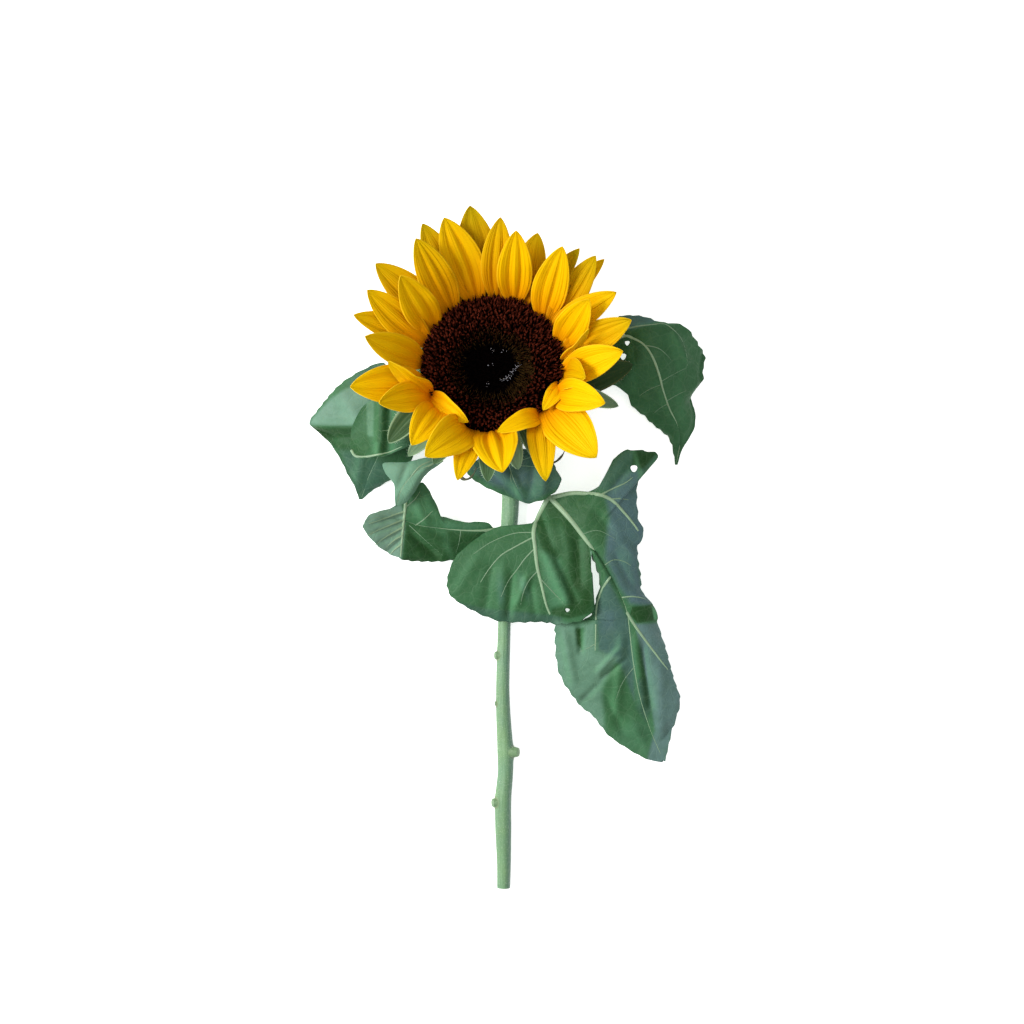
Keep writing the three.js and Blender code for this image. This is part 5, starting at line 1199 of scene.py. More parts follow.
def leaf_material(name, green, plain, fresh, waxy, deep, roughness):
    """Leaf blade: clouded plain green, with fresh green partly painted light, deep green partly painted
    shade, painted sheen and pale green painted light where the sheet says so, folds with painted light on
    one side and painted shade on the other, faint fine veins and small puckers."""
    material, tree = new_material(name, roughness, 0.15)
    place = object_place(tree)
    clouds = effect(tree, "Mottle", place, Scale=45.0, Contrast=2.2)
    fine = effect(tree, "Mottle", place, Scale=230.0, Contrast=1.6)
    ragged = math(tree, "MULTIPLY_ADD", clouds, 0.5, 0.72)
    # Painted light and shade carried by the sheet: sheen, deep shade, fresh light and pale light
    tints = {"fresh": fresh, "deep": deep, "waxy": waxy, "pale": green.leaf_pale_colour}
    patches = [(math(tree, "MULTIPLY", value_of(tree, key), ragged, clamp=True), tint)
               for key, tint in tints.items()]
    # Painted light on the side of a fold that faces the light, painted shade on the other
    crease = value_of(tree, "crease")
    net = effect(tree, "Vein net", place, Scale=420.0, Width=0.12)
    coarse_net = effect(tree, "Vein net", place, Scale=140.0, Width=0.06)
    lines = math(tree, "MAXIMUM", times(tree, net, 0.5), coarse_net)
    colour = layered(
        tree, plain, (times(tree, clouds, 0.22), fresh), *patches, (times(tree, fine, 0.32), deep),
        (spread(tree, crease, 0.0, -1.0, 0.0, 0.85), deep),
        (spread(tree, crease, 0.0, 1.0, 0.0, 0.6), scaled(fresh, 1.3)),
        (times(tree, lines, green.net_strength), green.vein_colour))
    height = math(tree, "MULTIPLY_ADD", lines, -0.35, times(tree, fine, 0.6))
    return painted(material, colour, height, 0.0005, 0.6)


def vein_material(green):
    """Pale vein with small changes along it. Thin veins are nearer to the green of the blade."""
    material, tree = new_material("Leaf_vein", 0.5)
    clouds = effect(tree, "Mottle", object_place(tree), Scale=160.0, Contrast=2.0)
    thick = mix_colours(tree, clouds, green.vein_colour, scaled(green.vein_colour, 0.7))
    return painted(material, mix_colours(tree, value_of(tree, "pale"), green.thin_vein_colour, thick))


def bract_material(green):
    """Bract: green with parallel lines and a paler margin. A dark value above 0 gives painted shade in deep
    green, one below 0 painted light in pale green.
    """
    material, tree = new_material("Bract", 0.6, 0.15)
    blade, parts = blade_place(tree)
    dark = value_of(tree, "dark")
    ribs = effect(tree, "Blade ribs", blade, Lot=value_of(tree, "lot"), Count=6.0, Sharpness=3.0)
    clouds = effect(tree, "Mottle", object_place(tree), Scale=120.0, Contrast=2.0)
    margin = spread(tree, off_middle(tree, parts["Y"]), 0.4, 0.48)
    lines = math(tree, "MULTIPLY_ADD", ribs, 0.3, times(tree, margin, 0.9))
    light = mix_colours(tree, spread(tree, dark, 0.4, 1.0), green.vein_colour, green.bract_rust_colour)
    colour = layered(
        tree, green.bract_colour, (clouds, scaled(green.bract_colour, 0.6)),
        (spread(tree, dark, 0.0, -1.0), green.bract_pale_colour),
        (spread(tree, dark, 0.0, 1.0), green.bract_shade_colour), (lines, light))
    return painted(material, colour, ribs, 0.0003, 0.6)


def stem_material(green):
    """Stem: pale green, streaked along its length and speckled, with painted shade, deeper and cooler, along
    the side away from the light, and brown at the leaf scars."""
    material, tree = new_material("Stem", 0.5)
    place = object_place(tree)
    flat = shader(tree, "ShaderNodeMapping", {"Vector": place, "Scale": (1.0, 0.06, 1.0)})
    streaks = effect(tree, "Mottle", flat.outputs[0], Scale=700.0, Contrast=2.2)
    clouds = effect(tree, "Mottle", place, Scale=60.0, Contrast=2.0)
    specks = effect(tree, "Mottle", place, Scale=1400.0, Contrast=5.0)
    colour = layered(
        tree, green.stem_colour, (streaks, scaled(green.stem_colour, 0.72)),
        (times(tree, clouds, 0.5), green.stem_cool_and_shade_colour),
        (times(tree, value_of(tree, "cool"), 0.75), scaled(green.stem_cool_and_shade_colour, 0.62)),
        (times(tree, math(tree, "POWER", specks, 4.0), 0.35), green.vein_colour),
        (value_of(tree, "scar"), green.scar_colour))
    return painted(material, colour, streaks, 0.0004, 0.6)


def plain_material(name, colour, roughness, scale=300.0, change=0.25, shine=0.5):
    """One colour with a soft darker cloud over it."""
    material, tree = new_material(name, roughness, shine)
    clouds = effect(tree, "Mottle", object_place(tree), Scale=scale, Contrast=2.0)
    return painted(material, mix_colours(tree, clouds, colour, scaled(colour, 1 - change)))


# ---- What a user may change ----
def colour_property(name, description, *byte_colour):
    return FloatVectorProperty(
        name=name, description=description, subtype="COLOR", size=3, min=0.0, max=1.0,
        default=linear(*byte_colour))


def length_property(name, description, millimetres):
    return FloatProperty(
        name=name, description=description, unit="LENGTH", subtype="DISTANCE", precision=5, min=0.0,
        default=millimetres * MM)


class SunflowerHead(bpy.types.PropertyGroup):
    """Sizes and colours of the flower head."""

    petal_thickness: length_property("Petal Thickness", "Thickness of a ray petal", 0.35)
    bract_thickness: length_property("Bract Thickness", "Thickness of a bract", 0.5)
    floret_count: IntProperty(name="Florets", description="Florets on the disc", default=2200, min=200,
                              max=2300)
    fringe_count: IntProperty(name="Fringe", description="Pointed scales round the disc", default=74, min=20,
                              max=400)
    petal_colour: colour_property("Petal", "Middle of a lit petal", 240, 192, 0)
    petal_tip_colour: colour_property("Petal Tip", "Tip of a lit petal", 222, 196, 0)
    petal_foot_colour: colour_property("Petal Foot", "Where a petal meets the disc", 228, 130, 0)
    # Painted highlight along the margin of a petal
    petal_rim_highlight_colour: colour_property("Petal Rim", "Margin of a petal", 252, 214, 44)
    # Painted shade: the foot and tip colours of a petal that faces away from the light
    petal_gap_shade_colour: colour_property("Petal Gap", "Foot of a dull petal", 152, 94, 0)
    petal_shade_colour: colour_property("Shaded Petal", "Tip of a dull petal", 158, 142, 0)
    petal_rib_colour: colour_property("Petal Rib", "Fine grooves of a petal", 214, 134, 0)
    open_floret_colour: colour_property("Open Floret", "Tips of the outer florets", 116, 50, 34)
    bud_colour: colour_property("Floret Bud", "Tips of the middle florets", 80, 40, 26)
    centre_colour: colour_property("Centre", "Closed buds of the middle", 7, 6, 8)
    thread_colour: colour_property("Anther", "Threads round the middle", 84, 62, 30)
    speck_colour: colour_property("Speck", "Dried specks in the middle", 150, 150, 158)
    scale_colour: colour_property("Disc Scale", "Scales at the edge of the disc", 34, 12, 6)
    # Painted shade between the florets
    ground_shade_colour: colour_property("Disc Ground", "Between the florets", 6, 3, 3)


class SunflowerGreens(bpy.types.PropertyGroup):
    """Sizes and colours of the stem, bracts and leaves."""

    leaf_thickness: length_property("Leaf Thickness", "Thickness of a leaf blade", 0.45)
    quilt_height: length_property("Quilting", "How far the blade puffs up between its veins", 0.7)
    hair_length: length_property("Hair Length", "Length of the hairs on the stem", 0.9)
    net_strength: FloatProperty(name="Vein Net", description="Strength of the finest veins", default=0.07,
                                min=0.0, max=1.0)
    leaf_colour: colour_property("Leaf", "Leaf blade", 53, 97, 63)
    # Fresh is partly painted light, deep partly painted shade
    leaf_fresh_lit_colour: colour_property("Fresh Leaf", "Brighter patches of a leaf", 84, 140, 98)
    leaf_deep_shade_colour: colour_property("Deep Leaf", "Darker patches of a leaf", 24, 62, 22)
    # The waxy colour is a painted sheen, a bluish reflection of the sky
    leaf_sheen_colour: colour_property("Leaf Sheen", "Patches with a waxy bloom", 78, 104, 110)
    leaf_under_colour: colour_property("Leaf Underside", "Lower face of a leaf", 98, 138, 114)
    vein_colour: colour_property("Vein", "Veins of a leaf", 142, 172, 136)
    leaf_pale_colour: colour_property("Pale Leaf", "Patches of a leaf in the light", 132, 166, 148)
    thin_vein_colour: colour_property("Thin Vein", "Thinnest veins of a leaf", 76, 110, 84)
    bract_colour: colour_property("Bract", "Bracts and the back of the head", 78, 112, 72)
    bract_pale_colour: colour_property("Pale Bract", "Bracts in the light", 156, 184, 158)
    # Painted shade on bracts under the petals and nearer the neck
    bract_shade_colour: colour_property("Dark Bract", "Bracts under the petals", 28, 56, 22)
    bract_dry_colour: colour_property("Dry Bract", "Dried tips of the bracts", 84, 88, 62)
    bract_rust_colour: colour_property("Bract Rust", "Margins of the dark bracts", 70, 76, 40)
    stem_colour: colour_property("Stem", "Skin of the stem", 114, 154, 100)
    # Cooler patches of the stem, and, darker, the painted shade along its side away from the light
    stem_cool_and_shade_colour: colour_property("Stem Shade", "Cooler patches of the stem", 84, 130, 116)
    scar_colour: colour_property("Leaf Scar", "Rings where leaves came off", 120, 104, 62)


class SunflowerStage(bpy.types.PropertyGroup):
    """Camera, lights and floor."""

    camera_height: length_property("Camera Height", "Height of the camera over the floor", 1000)
    key_power: FloatProperty(name="Key Light", description="Power of the light on the left", unit="POWER",
                             default=20.0, min=0.0)
    fill_power: FloatProperty(name="Fill Light", description="Power of the light overhead", unit="POWER",
                              default=5.0, min=0.0)
    sky_strength: FloatProperty(name="Sky", description="Strength of the even light all round", default=0.5,
                                min=0.0)
    floor_glow: FloatProperty(name="Floor Glow", description="Light that the backlit floor sheds",
                              default=0.62, min=0.0)
    floor_colour: colour_property("Floor", "Pale floor", 250, 250, 250)


# ---- Operators ----
class SUNFLOWER_OT_stage(bpy.types.Operator):
    """Make the camera that looks straight down, the floor and the soft lights"""

    bl_idname = "sunflower.stage"
    bl_label = "Stage"

    def execute(self, context):
        settings = context.scene.sunflower_stage
        link = context.scene.collection.objects.link
        camera = bpy.data.objects.new("Camera", bpy.data.cameras.new("Camera"))
        camera.location = (*CAMERA_PLACE, settings.camera_height)
        camera.data.sensor_width = SENSOR_WIDTH
        camera.data.lens = LENS
        camera.data.clip_start = CLIP_START
        link(camera)
        context.scene.camera = camera
        for name, (key, place, size) in LIGHTS.items():
            light = bpy.data.lights.new(name, "AREA")
            light.size = size
            light.energy = getattr(settings, key)
            lamp = bpy.data.objects.new(name, light)
            lamp.location = place
            lamp.rotation_euler = (-lamp.location).to_track_quat("-Z", "Y").to_euler()
            link(lamp)
        world = bpy.data.worlds.new("Sky")
        world.use_nodes = True
        sky = world.node_tree.nodes["Background"].inputs
        sky["Color"].default_value = (1, 1, 1, 1)
        sky["Strength"].default_value = settings.sky_strength
        context.scene.world = world
        context.scene.view_settings.view_transform = "Standard"
        floor = self.make_floor(settings)
        link(floor)
        return {"FINISHED"}

    def make_floor(self, settings):
        """One large pale square just under the flower, lit a little from behind."""
        mesh = bpy.data.meshes.new("Floor")
        corners = [(x * FLOOR_HALF, y * FLOOR_HALF, -FLOOR_DROP) for x, y in
                   ((-1, -1), (1, -1), (1, 1), (-1, 1))]
        mesh.from_pydata(corners, [], [[0, 1, 2, 3]])
        paper = plain_material("Floor_paper", settings.floor_colour, 0.9, 3.0, 0.01)
        surface = paper.node_tree.nodes[SURFACE]
        surface.inputs["Emission Color"].default_value = (1, 1, 1, 1)
        surface.inputs["Emission Strength"].default_value = settings.floor_glow
        mesh.materials.append(paper)
        return bpy.data.objects.new("Floor", mesh)


class SUNFLOWER_OT_stem(bpy.types.Operator):
    """Make the stem: a ribbed round stalk along its route, with leaf scars, stubs and a cut end"""

    bl_idname = "sunflower.stem"
    bl_label = "Stem"

    def execute(self, context):
        green = context.scene.sunflower_greens
        rows, sides = STEM_GRID
        centres = along(stem_route(), np.linspace(0, 1, rows + 1))
        radius = stem_radius(centres[:, 1])
        wall = tube(centres, radius, sides)
        turn = np.linspace(0, 2 * np.pi, sides, endpoint=False)
        twist = centres[:, 1][:, None] / 60
        ribs = 0.010 * np.cos(9 * turn[None] + twist) + 0.008 * np.cos(14 * turn[None] - 2 * twist)
        swell = 0.012 * np.sin(centres[:, 1][:, None] / 7 + turn[None])
        wall = centres[:, None] + (wall - centres[:, None]) * (1 - 0.012 + ribs + swell)[..., None]
        scar = np.zeros(wall.shape[:2])
        for mark in LEAF_SCARS:
            out = out_of_stem(mark["turn"])
            away = np.linalg.norm(wall - stem_centre(mark["y"]) - out * stem_radius(mark["y"]), axis=-1)
            wall = wall + out * (0.5 * mark["length"] * bell(away, 1.1 * mark["radius"]))[..., None]
            scar = np.maximum(scar, 0.5 * bell(away - mark["radius"], 0.7))
        wall[..., 2] = np.maximum(wall[..., 2], 0)
        caps = [self.end_cap(wall[-1], centres[-1], (0, -1, 0), 0.35, False),
                self.end_cap(wall[0], centres[0], (0, 0, 0), 0.0, True)]
        stubs = [self.stub(mark) for mark in LEAF_SCARS]
        parts = [(wall, tube_quads(rows, sides), 0), *[(*cap, 0) for cap in caps],
                 *[(*stub, STUB_BROWN) for stub in stubs]]
        points, faces, scars = stack_parts(parts)
        scars[:scar.size] = scar.reshape(-1)
        # Painted shade along the stem's +X side, away from the key light
        cool = np.zeros(len(points))
        cool[:scar.size] = np.tile(smooth_step(0.1, 0.9, -np.cos(turn)), rows + 1)
        slots = np.repeat([0, 1, 1] + [0] * len(stubs), [len(part[1]) for part in parts])
        pith = plain_material("Cut_pith", (0.55, 0.62, 0.38), 0.8, 900.0, 0.3)
        piece = new_piece("stem_skin", points, faces, [stem_material(green), pith],
                          values={"scar": scars, "cool": cool}, slots=slots)
        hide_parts("stem")
        self.add_hairs(wall, centres, green)
        return {"FINISHED"}

    def end_cap(self, ring, centre, way, depth, flip):
        """Rings drawn in to the middle of a cut end, sunk by depth times the squared sine of a quarter
        turn's share on the way inwards."""
        share = np.linspace(0, 1, CAP_RINGS + 1)[:, None, None]
        inner = ring[None] + (centre - ring)[None] * share * 0.999
        inner = inner - np.array(way) * depth * np.sin(np.pi * share / 2) ** 2
        quads = grid_quads(CAP_RINGS, ring.shape[0], ring=True)
        return inner, quads if flip else quads[:, ::-1]

    def stub(self, mark):
        """A short stalk out of the stem with a rounded, slightly flared end."""
        out = out_of_stem(mark["turn"])
        middle = stem_centre(mark["y"])
        reach = stem_radius(mark["y"]) + mark["length"]
        share, girth = STUB_PROFILE
        girth = mark["radius"] * girth
        side = np.array([0.0, 1.0, 0.0])
        over = np.cross(out, side)
        turn = np.linspace(0, 2 * np.pi, STUB_SIDES, endpoint=False)
        ring = np.cos(turn)[:, None] * side + np.sin(turn)[:, None] * over
        points = middle + share[:, None, None] * reach * out + girth[:, None, None] * ring[None]
        points[..., 2] = np.maximum(points[..., 2], 0.05)
        return points, grid_quads(len(share) - 1, STUB_SIDES, ring=True)

    def add_hairs(self, wall, centres, green):
        """Short pale hairs over the stem, straight out with a little scatter."""
        draw = np.random.default_rng(11)
        count = STEM_HAIRS
        i = draw.integers(4, wall.shape[0] - 4, count)
        j = draw.integers(0, wall.shape[1], count)
        roots = wall[i, j]
        out = unit(roots - centres[i]) + 0.45 * draw.normal(size=(count, 3))
        lengths = green.hair_length / MM * (0.5 + draw.random(count))
        keep = roots[:, 2] > 1.2
        points, faces = needles(roots[keep], out[keep], lengths[keep], HAIR_RADIUS)
        hair = plain_material("Stem_hair", (0.75, 0.8, 0.66), 0.7)
        new_piece("stem_hairs", points, faces, [hair])


class SUNFLOWER_OT_bracts(bpy.types.Operator):
    """Make the green back of the head with its rows of pointed bracts"""

    bl_idname = "sunflower.bracts"
    bl_label = "Bract Cup"

    def execute(self, context):
        green = context.scene.sunflower_greens
        head = context.scene.sunflower_head
        profile = along([[CUP_RADIUS, 0, 0], [CUP_RADIUS - 0.6, -2, 0], [31, -6, 0], [24, -10.5, 0],
                         [14, -14, 0], [6.5, -CUP_DEPTH, 0]], np.linspace(0, 1, 40))
        profile = np.vstack([[0.01, 0, 0], profile, [0.01, -CUP_DEPTH, 0]])
        bearing = np.linspace(0, 2 * np.pi, 120, endpoint=False)
        ripple = 1 + 0.008 * np.sin(26 * bearing)[None] * np.linspace(1, 0, len(profile))[:, None]
        cup = head_point(profile[:, :1] * ripple, bearing, profile[:, 1:2])
        skin = plain_material("Bract_cup", green.bract_colour, 0.65, 200.0, 0.35)
        quads = grid_quads(len(profile) - 1, 120, ring=True)[:, ::-1]
        piece = new_piece("bract_cup_body", cup, quads, [skin])
        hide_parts("bract_cup")
        u, v = blade_grid(*BRACT_GRID)
        arcs = bract_arcs()
        sheets = []
        for index, (arc, _) in enumerate(arcs):
            lift = 0.05 * np.cos(3 * np.pi * v) * np.sin(np.pi * u) + 0.04 * np.sin(9 * u + index) * v**3
            sheets.append((arc_blade(u, v, **arc, lift=lift), grid_quads(*BRACT_GRID)[:, ::-1], index))
        points, quads, lots = stack_parts(sheets)
        bract_shades = np.repeat([dark for _, dark in arcs], u.size)
        uv = np.tile(blade_uv(u, v), (len(sheets), 1))
        blades = new_piece("bract_blades", points, quads, [bract_material(green)], uv=uv,
                           values={"lot": lots * 0.37 % 1, "dark": bract_shades})
        thicken(blades, head.bract_thickness)
        self.add_hairs(sheets)
        threads = []
        share = np.linspace(0, 1, 40)
        for route in DRY_TIPS:
            girth = 1.0 - 0.75 * share**0.7 + 0.14 * np.sin(np.linspace(0, 14, 40))
            threads.append(tube_part(along(route, share), girth, 10))
        points, quads, _ = stack_parts(threads)
        dry = plain_material("Bract_dry", green.bract_dry_colour, 0.8, 500.0, 0.5)
        new_piece("bract_dry_tips", points, quads, [dry])
        return {"FINISHED"}

    def add_hairs(self, sheets):
        """Pale hairs along the margins of the bracts and scattered over them."""
        draw = np.random.default_rng(23)
        roots, ways = [], []
        rows, columns = BRACT_GRID
        for grid, _, _ in sheets:
            side = unit(grid[:, -1] - grid[:, 0])
            normal = unit(np.cross(np.gradient(grid[:, columns // 2], axis=0), side))
            pick = draw.integers(0, rows, EDGE_HAIRS)
            left = draw.random(EDGE_HAIRS) < 0.5
            edge = np.where(left[:, None], grid[pick, 0], grid[pick, -1])
            roots.append(edge)
            ways.append(np.where(left, -1, 1)[:, None] * side[pick]
                        + 0.5 * draw.normal(size=(EDGE_HAIRS, 3)))
            i, j = draw.integers(0, rows + 1, FACE_HAIRS), draw.integers(0, columns + 1, FACE_HAIRS)
            roots.append(grid[i, j])
            ways.append(normal[i] * draw.choice([-1, 1], FACE_HAIRS)[:, None]
                        + 0.5 * draw.normal(size=(FACE_HAIRS, 3)))
        roots, ways = np.vstack(roots), np.vstack(ways)
        keep = roots[:, 2] > 1.5
        lengths = 0.7 + 0.8 * draw.random(keep.sum())
        points, faces = needles(roots[keep], ways[keep], lengths, HAIR_RADIUS)
        hair = plain_material("Bract_hair", (0.8, 0.84, 0.74), 0.7)
        new_piece("bract_hairs", points, faces, [hair])


class SUNFLOWER_OT_petals(bpy.types.Operator):
    """Make the ray petals, each a thin grooved blade on an arched spine"""

    bl_idname = "sunflower.petals"
    bl_label = "Ray Petals"

    def execute(self, context):
        head = context.scene.sunflower_head
        material = petal_material(head)
        for ring in ("front", "back"):
            chosen = [(i, row) for i, row in enumerate(RAY_PETALS) if row["ring"] == ring]
            sheets = [petal_sheet(row, index) for index, row in chosen]
            points, quads, _ = stack_parts([(sheet[0], sheet[1], 0) for sheet in sheets])
            uv = np.vstack([sheet[2] for sheet in sheets])
            values = {key: np.concatenate([sheet[3][key] for sheet in sheets]) for key in sheets[0][3]}
            piece = new_piece(f"petals_{ring}", points, quads, [material], uv=uv, values=values)
            thicken(piece, head.petal_thickness)
            if ring == "front":
                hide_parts("ray_petals")
        return {"FINISHED"}


class SUNFLOWER_OT_disc(bpy.types.Operator):
    """Make the floret disc: its ground, spirals of florets, threads and specks, and the scales round it"""

    bl_idname = "sunflower.disc"
    bl_label = "Floret Disc"

    def execute(self, context):
        head = context.scene.sunflower_head
        self.add_ground(head, context.scene.sunflower_greens)
        self.add_florets(head)
        self.add_threads(head)
        self.add_specks(head)
        self.add_fringe(head)
        return {"FINISHED"}

    def add_ground(self, head, green):
        """A bowl just under the florets, near black as painted shade among them, with a collar out to the
        feet of the petals, and a green wall and floor."""
        radius = np.concatenate([np.linspace(0.01, DISC_RADIUS - 1, BOWL_RINGS), COLLAR_RADII])
        height = np.concatenate([disc_height(radius[:BOWL_RINGS]) - 0.4, COLLAR_HEIGHTS])
        bands = len(radius) - 1
        bearing = np.linspace(0, 2 * np.pi, BOWL_SIDES, endpoint=False)
        points = head_point(radius[:, None], bearing, height[:, None])
        ground = plain_material("Disc_ground", head.ground_shade_colour, 0.9, 900.0, 0.6, 0.0)
        wall = plain_material("Disc_wall", green.bract_colour, 0.7, 300.0, 0.5, 0.1)
        piece = new_piece("disc_ground", points, grid_quads(bands, BOWL_SIDES, ring=True), [ground, wall],
                          slots=np.repeat(np.arange(bands) > BOWL_RINGS, BOWL_SIDES))
        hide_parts("disc")

    def add_florets(self, head):
        """Florets at radius R sqrt(i / N) and bearing i golden angles. Each is a template carried to its
        place, leaning outwards with the radius: open stars outside, pointed buds inside. None stands
        where a petal lies on the disc."""
        count = head.floret_count
        draw = np.random.default_rng(5)
        index = np.arange(count) + 0.5
        radius = (DISC_RADIUS - 0.4) * np.sqrt(index / count)
        bearing = index * np.pi * (3 - np.sqrt(5))
        tone = draw.random(count)
        lean = 0.15 + 0.6 * smooth_step(22, DISC_RADIUS, radius) + 0.24 * draw.normal(size=count)
        ahead = np.stack([np.cos(bearing), np.sin(bearing), 0 * bearing], axis=-1)
        level = np.stack([-np.sin(bearing), np.cos(bearing), 0 * bearing], axis=-1)
        up = np.array([0, 0, 1.0])
        axis = unit(np.cos(lean)[:, None] * up + np.sin(lean)[:, None] * ahead
                    + 0.24 * draw.normal(size=count)[:, None] * level)
        side = unit(np.cross(level, axis))
        frames = np.stack([side, np.cross(axis, side), axis], axis=-2)
        roots = np.column_stack([radius * ahead[:, 0], radius * ahead[:, 1], disc_height(radius) - 0.7])
        roots[:, :2] += 0.22 * draw.normal(size=(count, 2))
        border = np.hypot(roots[:, 0] - EYE[0], roots[:, 1] - EYE[1]) + 1.2 * draw.normal(size=count)
        tone = np.maximum(tone, smooth_step(*TONE_BORDER, border) * (0.75 + 0.25 * tone))
        clear = ~self.covered(in_head(roots + 4.5 * axis))
        star, bud = floret(STAR_RINGS, 10), floret(BUD_RINGS, 6)
        # The share of each colour left at a floret's foot is painted shade down among the florets
        zones = [
            ("florets_open", border > OPEN_BORDER, star, (0.65, 1.05), (3.0, 4.8), "Open_floret", 0.12,
             head.open_floret_colour),
            ("floret_buds", (border <= OPEN_BORDER) & (border > CENTRE_BORDER), bud, (0.5, 0.72), (2, 3.4),
             "Floret_bud", 0.05, head.bud_colour),
            ("florets_centre", border <= CENTRE_BORDER, bud, (0.5, 0.65), (1.3, 2.0), "Centre_bud", 0.4,
             head.centre_colour),
        ]
        for name, zone, (shape, quads, tip), girth, height, title, dark, colour in zones:
            chosen = clear & zone
            total = chosen.sum()
            wide, tall = (low + (high - low) * draw.random(total) for low, high in (girth, height))
            size = np.stack([wide, wide, tall], axis=-1)
            local = np.einsum("nk,pk,nkx->npx", size, shape, frames[chosen])
            new_piece(name, in_head(roots[chosen][:, None] + local), repeated(quads, len(shape), total),
                      [floret_material(title, scaled(colour, dark), colour)],
                      values={"tip": np.tile(tip, total), "tone": np.repeat(tone[chosen], len(shape))})

    def covered(self, tips):
        """Whether a petal that curls inwards lies closer than 1 mm in plan, and lower than the tip."""
        points = np.vstack([petal_sheet(row, index)[0] for index, row in enumerate(RAY_PETALS)
                            if row["reach"] < DISC_RADIUS])
        apart = ((tips[:, None, :2] - points[None, :, :2]) ** 2).sum(axis=-1)
        closest = apart.argmin(axis=1)
        return (apart.min(axis=1) < 1) & (points[closest, 2] < tips[:, 2] + 1)

    def add_threads(self, head):
        """Golden anther threads round the dark middle, each along its radius and leaning inwards. They
        crowd on one side."""
        draw = np.random.default_rng(31)
        count = THREADS
        radius = 14 + 8 * draw.random(count)
        bearing = np.where(draw.random(count) < 0.65, THREAD_SIDE + 0.7 * draw.normal(size=count),
                           2 * np.pi * draw.random(count))
        x, y = EYE[0] + radius * np.cos(bearing), EYE[1] + radius * np.sin(bearing)
        level = disc_height(np.hypot(x, y)) + 1.2 + 0.9 * draw.random(count)
        roots = in_head(np.column_stack([x, y, level]))
        way = np.column_stack([-np.cos(bearing), -np.sin(bearing), 0.25 + 0.3 * draw.random(count)])
        way = turned_with_head(way + 0.1 * draw.normal(size=(count, 3)))
        clear = ~self.covered(roots)
        points, faces = needles(roots[clear], way[clear], 1.4 + 1.8 * draw.random(clear.sum()), 0.075)
        thread = plain_material("Anther_thread", head.thread_colour, 0.7, 900.0, 0.8, 0.0)
        new_piece("disc_threads", points, faces, [thread])

    def add_specks(self, head):
        """Pale dried specks scattered along an arc in the dark middle."""
        draw = np.random.default_rng(37)
        arc = along([[x, y, 0] for x, y in SPECK_ARC], draw.random(ARC_SPECKS) ** 0.8)[:, :2]
        arc = arc + 0.55 * draw.normal(size=arc.shape)
        loose = np.repeat(LOOSE_SPECKS, SPECKS_EACH, axis=0)
        spots = np.vstack([arc, loose + 0.8 * draw.normal(size=loose.shape)])
        level = disc_height(np.hypot(spots[:, 0], spots[:, 1])) + 1.1
        size = 0.10 + 0.16 * draw.random(len(spots))
        shape, quads, _ = floret(BUD_RINGS, 6)
        local = shape[None] * np.stack([size, size, 2.2 * size], axis=-1)[:, None]
        local[..., :2] += 0.7 * draw.normal(size=(len(spots), 1, 2)) * local[..., 2:]
        points = np.column_stack([spots, level])[:, None] + local
        speck = plain_material("Dried_speck", head.speck_colour, 0.6, 900.0, 0.5)
        new_piece("disc_specks", in_head(points), repeated(quads, len(shape), len(spots)), [speck])

    def add_fringe(self, head):
        """Pointed scales at the edge of the disc that stand up and out between florets and petals."""
        draw = np.random.default_rng(9)
        count = head.fringe_count
        bearing = 2 * np.pi * (np.arange(count) + 0.7 * draw.random(count)) / count
        bearing = bearing[~self.covered(head_point(DISC_RADIUS, bearing, 7))]
        count = len(bearing)
        u, v = blade_grid(*SCALE_GRID)
        lean, length, half = (low + more * draw.random(count)[:, None, None]
                              for low, more in ((0.4, 0.35), (3.8, 1.9), (1.05, 0.5)))
        across = half * v * ((1 - u) ** 0.8 * (0.7 + 0.6 * u))
        radius = DISC_RADIUS - 1.3 + length * u * np.sin(lean)
        turn = bearing[:, None, None] + across / radius
        points = head_point(radius, turn, 3.6 + length * u * np.cos(lean) - 0.5 * np.abs(v) * (1 - u))
        # The scale's foot is darker as painted shade
        scale = floret_material("Disc_scale", scaled(head.scale_colour, 0.3), head.scale_colour)
        piece = new_piece("disc_scales", points, repeated(grid_quads(*SCALE_GRID), u.size, count), [scale],
                          values={"tip": np.tile(u.reshape(-1), count),
                                  "tone": np.repeat(draw.random(count), u.size)})
        thicken(piece, 0.2 * MM)


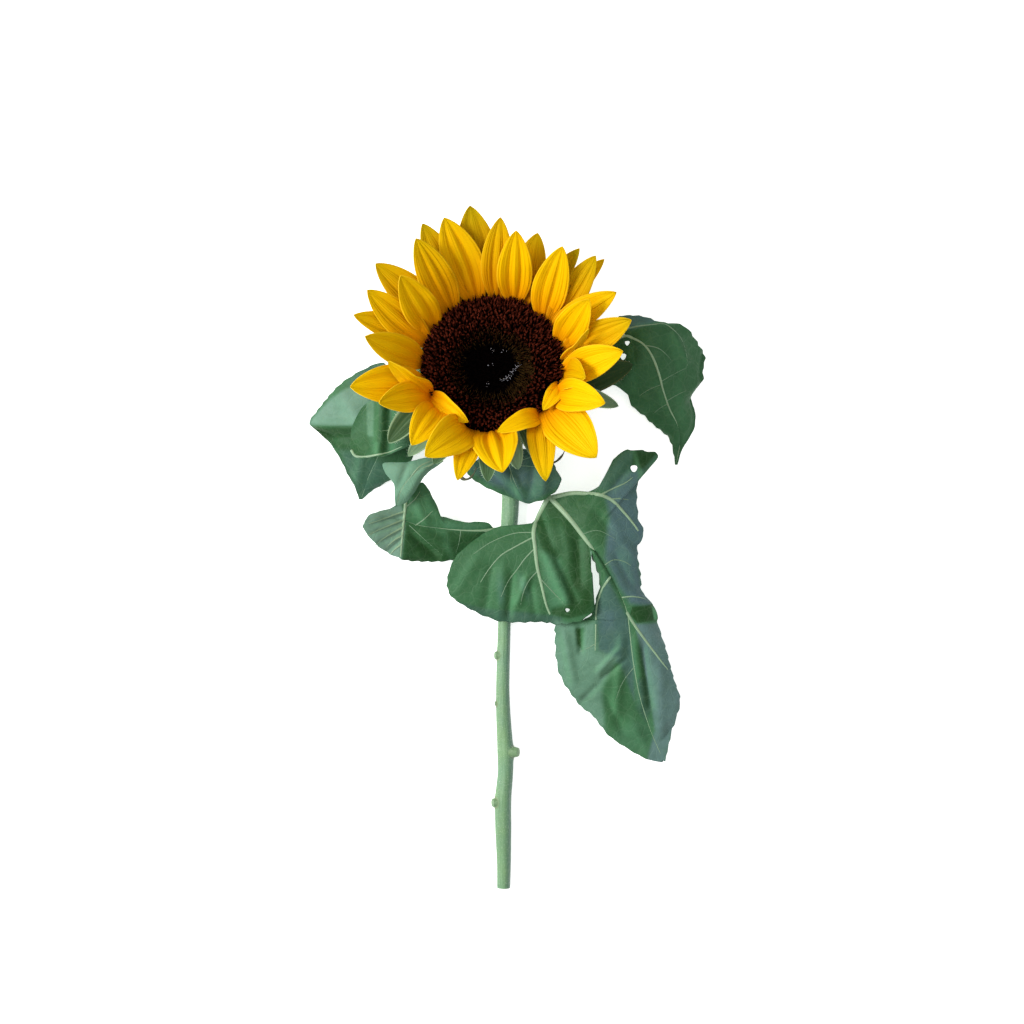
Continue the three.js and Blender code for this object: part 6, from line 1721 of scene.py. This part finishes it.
class SUNFLOWER_OT_leaves(bpy.types.Operator):
    """Make the leaves: puckered blades with raised veins, and their stalks"""

    bl_idname = "sunflower.leaves"
    bl_label = "Leaves"

    def execute(self, context):
        green = context.scene.sunflower_greens
        top = leaf_material("Leaf_top", green, green.leaf_colour, green.leaf_fresh_lit_colour,
                            green.leaf_sheen_colour, green.leaf_deep_shade_colour, 0.5)
        pale = green.leaf_under_colour
        under = leaf_material("Leaf_underside", green, pale, scaled(pale, 1.2), pale, scaled(pale, 0.6), 0.65)
        vein = vein_material(green)
        for name, rows in LEAVES.items():
            self.add_leaf(name, rows, green, top, under, vein)
        return {"FINISHED"}

    def add_leaf(self, name, rows, green, top, under, vein):
        """One leaf: the blade, its veins as low ridges on the upper face, and the stalk."""
        quilt = green.quilt_height / MM
        leaf = Leaf(name, rows)
        points, quads, uv, tints = leaf.sheet(quilt)
        pale = name == "leaf_folded_left"
        blade = new_piece(f"{name}_blade", points, quads, [under if pale else top, top if pale else under],
                          uv=uv, values=tints)
        thicken(blade, green.leaf_thickness, 1)
        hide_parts(name)
        lift = np.array([0, 0, green.leaf_thickness / MM + 0.02])
        share = np.linspace(0, 1, RIB_STEPS)
        rib = leaf.points(np.linspace(0.0, 0.985, RIB_STEPS), np.zeros(RIB_STEPS), quilt)
        rib_at, rib_half = np.array(rows["rib"]).T
        tubes = [tube_part(rib + lift, np.interp(share, rib_at, rib_half), VEIN_SIDES, VEIN_SQUASH,
                           min(1, 0.2 + rib_half[0]))]
        for line, thick, thin in leaf.vein_routes(quilt, points):
            radius = thin + (thick - thin) * np.linspace(1, 0, len(line)) ** 0.8
            tubes.append(tube_part(line + lift, radius, VEIN_SIDES, VEIN_SQUASH, min(1, 0.2 + thick)))
        share = np.linspace(0, 1, STALK_STEPS)
        thick = rows["petiole"]["radius"] * (1 - 0.45 * share)
        stalk = tube_part(along(petiole_route(rows), share), thick, STALK_SIDES, value=1)
        stalk[0][..., 2] = np.maximum(stalk[0][..., 2], 0.02)
        below = leaf.points(np.linspace(0.0, 0.97, KEEL_STEPS), np.zeros(KEEL_STEPS), quilt)
        deep = 0.9 * (1 - np.linspace(0, 1, KEEL_STEPS)) + 0.1
        deep = np.minimum(deep, np.maximum(below[:, 2] - 0.05, 0.05))
        tubes += [stalk, tube_part(below, deep, VEIN_SIDES, value=1)]
        points, quads, pale = stack_parts(tubes)
        new_piece(f"{name}_veins", points, quads, [vein], values={"pale": pale})


class SUNFLOWER_PT_panel(bpy.types.Panel):
    """The flower's settings and the operators that make its pieces"""

    bl_idname = "SUNFLOWER_PT_panel"
    bl_label = "Cut Sunflower"
    bl_space_type = "VIEW_3D"
    bl_region_type = "UI"
    bl_category = "Sunflower"

    def draw(self, context):
        for settings in (context.scene.sunflower_head, context.scene.sunflower_greens,
                         context.scene.sunflower_stage):
            box = self.layout.box()
            for key in settings.__annotations__:
                box.prop(settings, key)
        for operator in OPERATORS:
            self.layout.operator(operator.bl_idname)


SETTINGS = {"sunflower_head": SunflowerHead, "sunflower_greens": SunflowerGreens,
            "sunflower_stage": SunflowerStage}
OPERATORS = (SUNFLOWER_OT_stage, SUNFLOWER_OT_stem, SUNFLOWER_OT_bracts, SUNFLOWER_OT_petals,
             SUNFLOWER_OT_disc, SUNFLOWER_OT_leaves)


def register():
    for group in SETTINGS.values():
        bpy.utils.register_class(group)
    for key, group in SETTINGS.items():
        setattr(bpy.types.Scene, key, PointerProperty(type=group))
    for operator in (*OPERATORS, SUNFLOWER_PT_panel):
        bpy.utils.register_class(operator)


def unregister():
    for operator in reversed((*OPERATORS, SUNFLOWER_PT_panel)):
        bpy.utils.unregister_class(operator)
    for key in SETTINGS:
        delattr(bpy.types.Scene, key)
    for group in reversed(SETTINGS.values()):
        bpy.utils.unregister_class(group)


def main():
    """Makes every piece in order."""
    register()
    for group in (mottle_group, ribs_group, net_group):
        group()
    bpy.ops.sunflower.stage()
    bpy.ops.sunflower.stem()
    bpy.ops.sunflower.bracts()
    bpy.ops.sunflower.petals()
    bpy.ops.sunflower.disc()
    bpy.ops.sunflower.leaves()


if __name__ == "__main__":
    main()
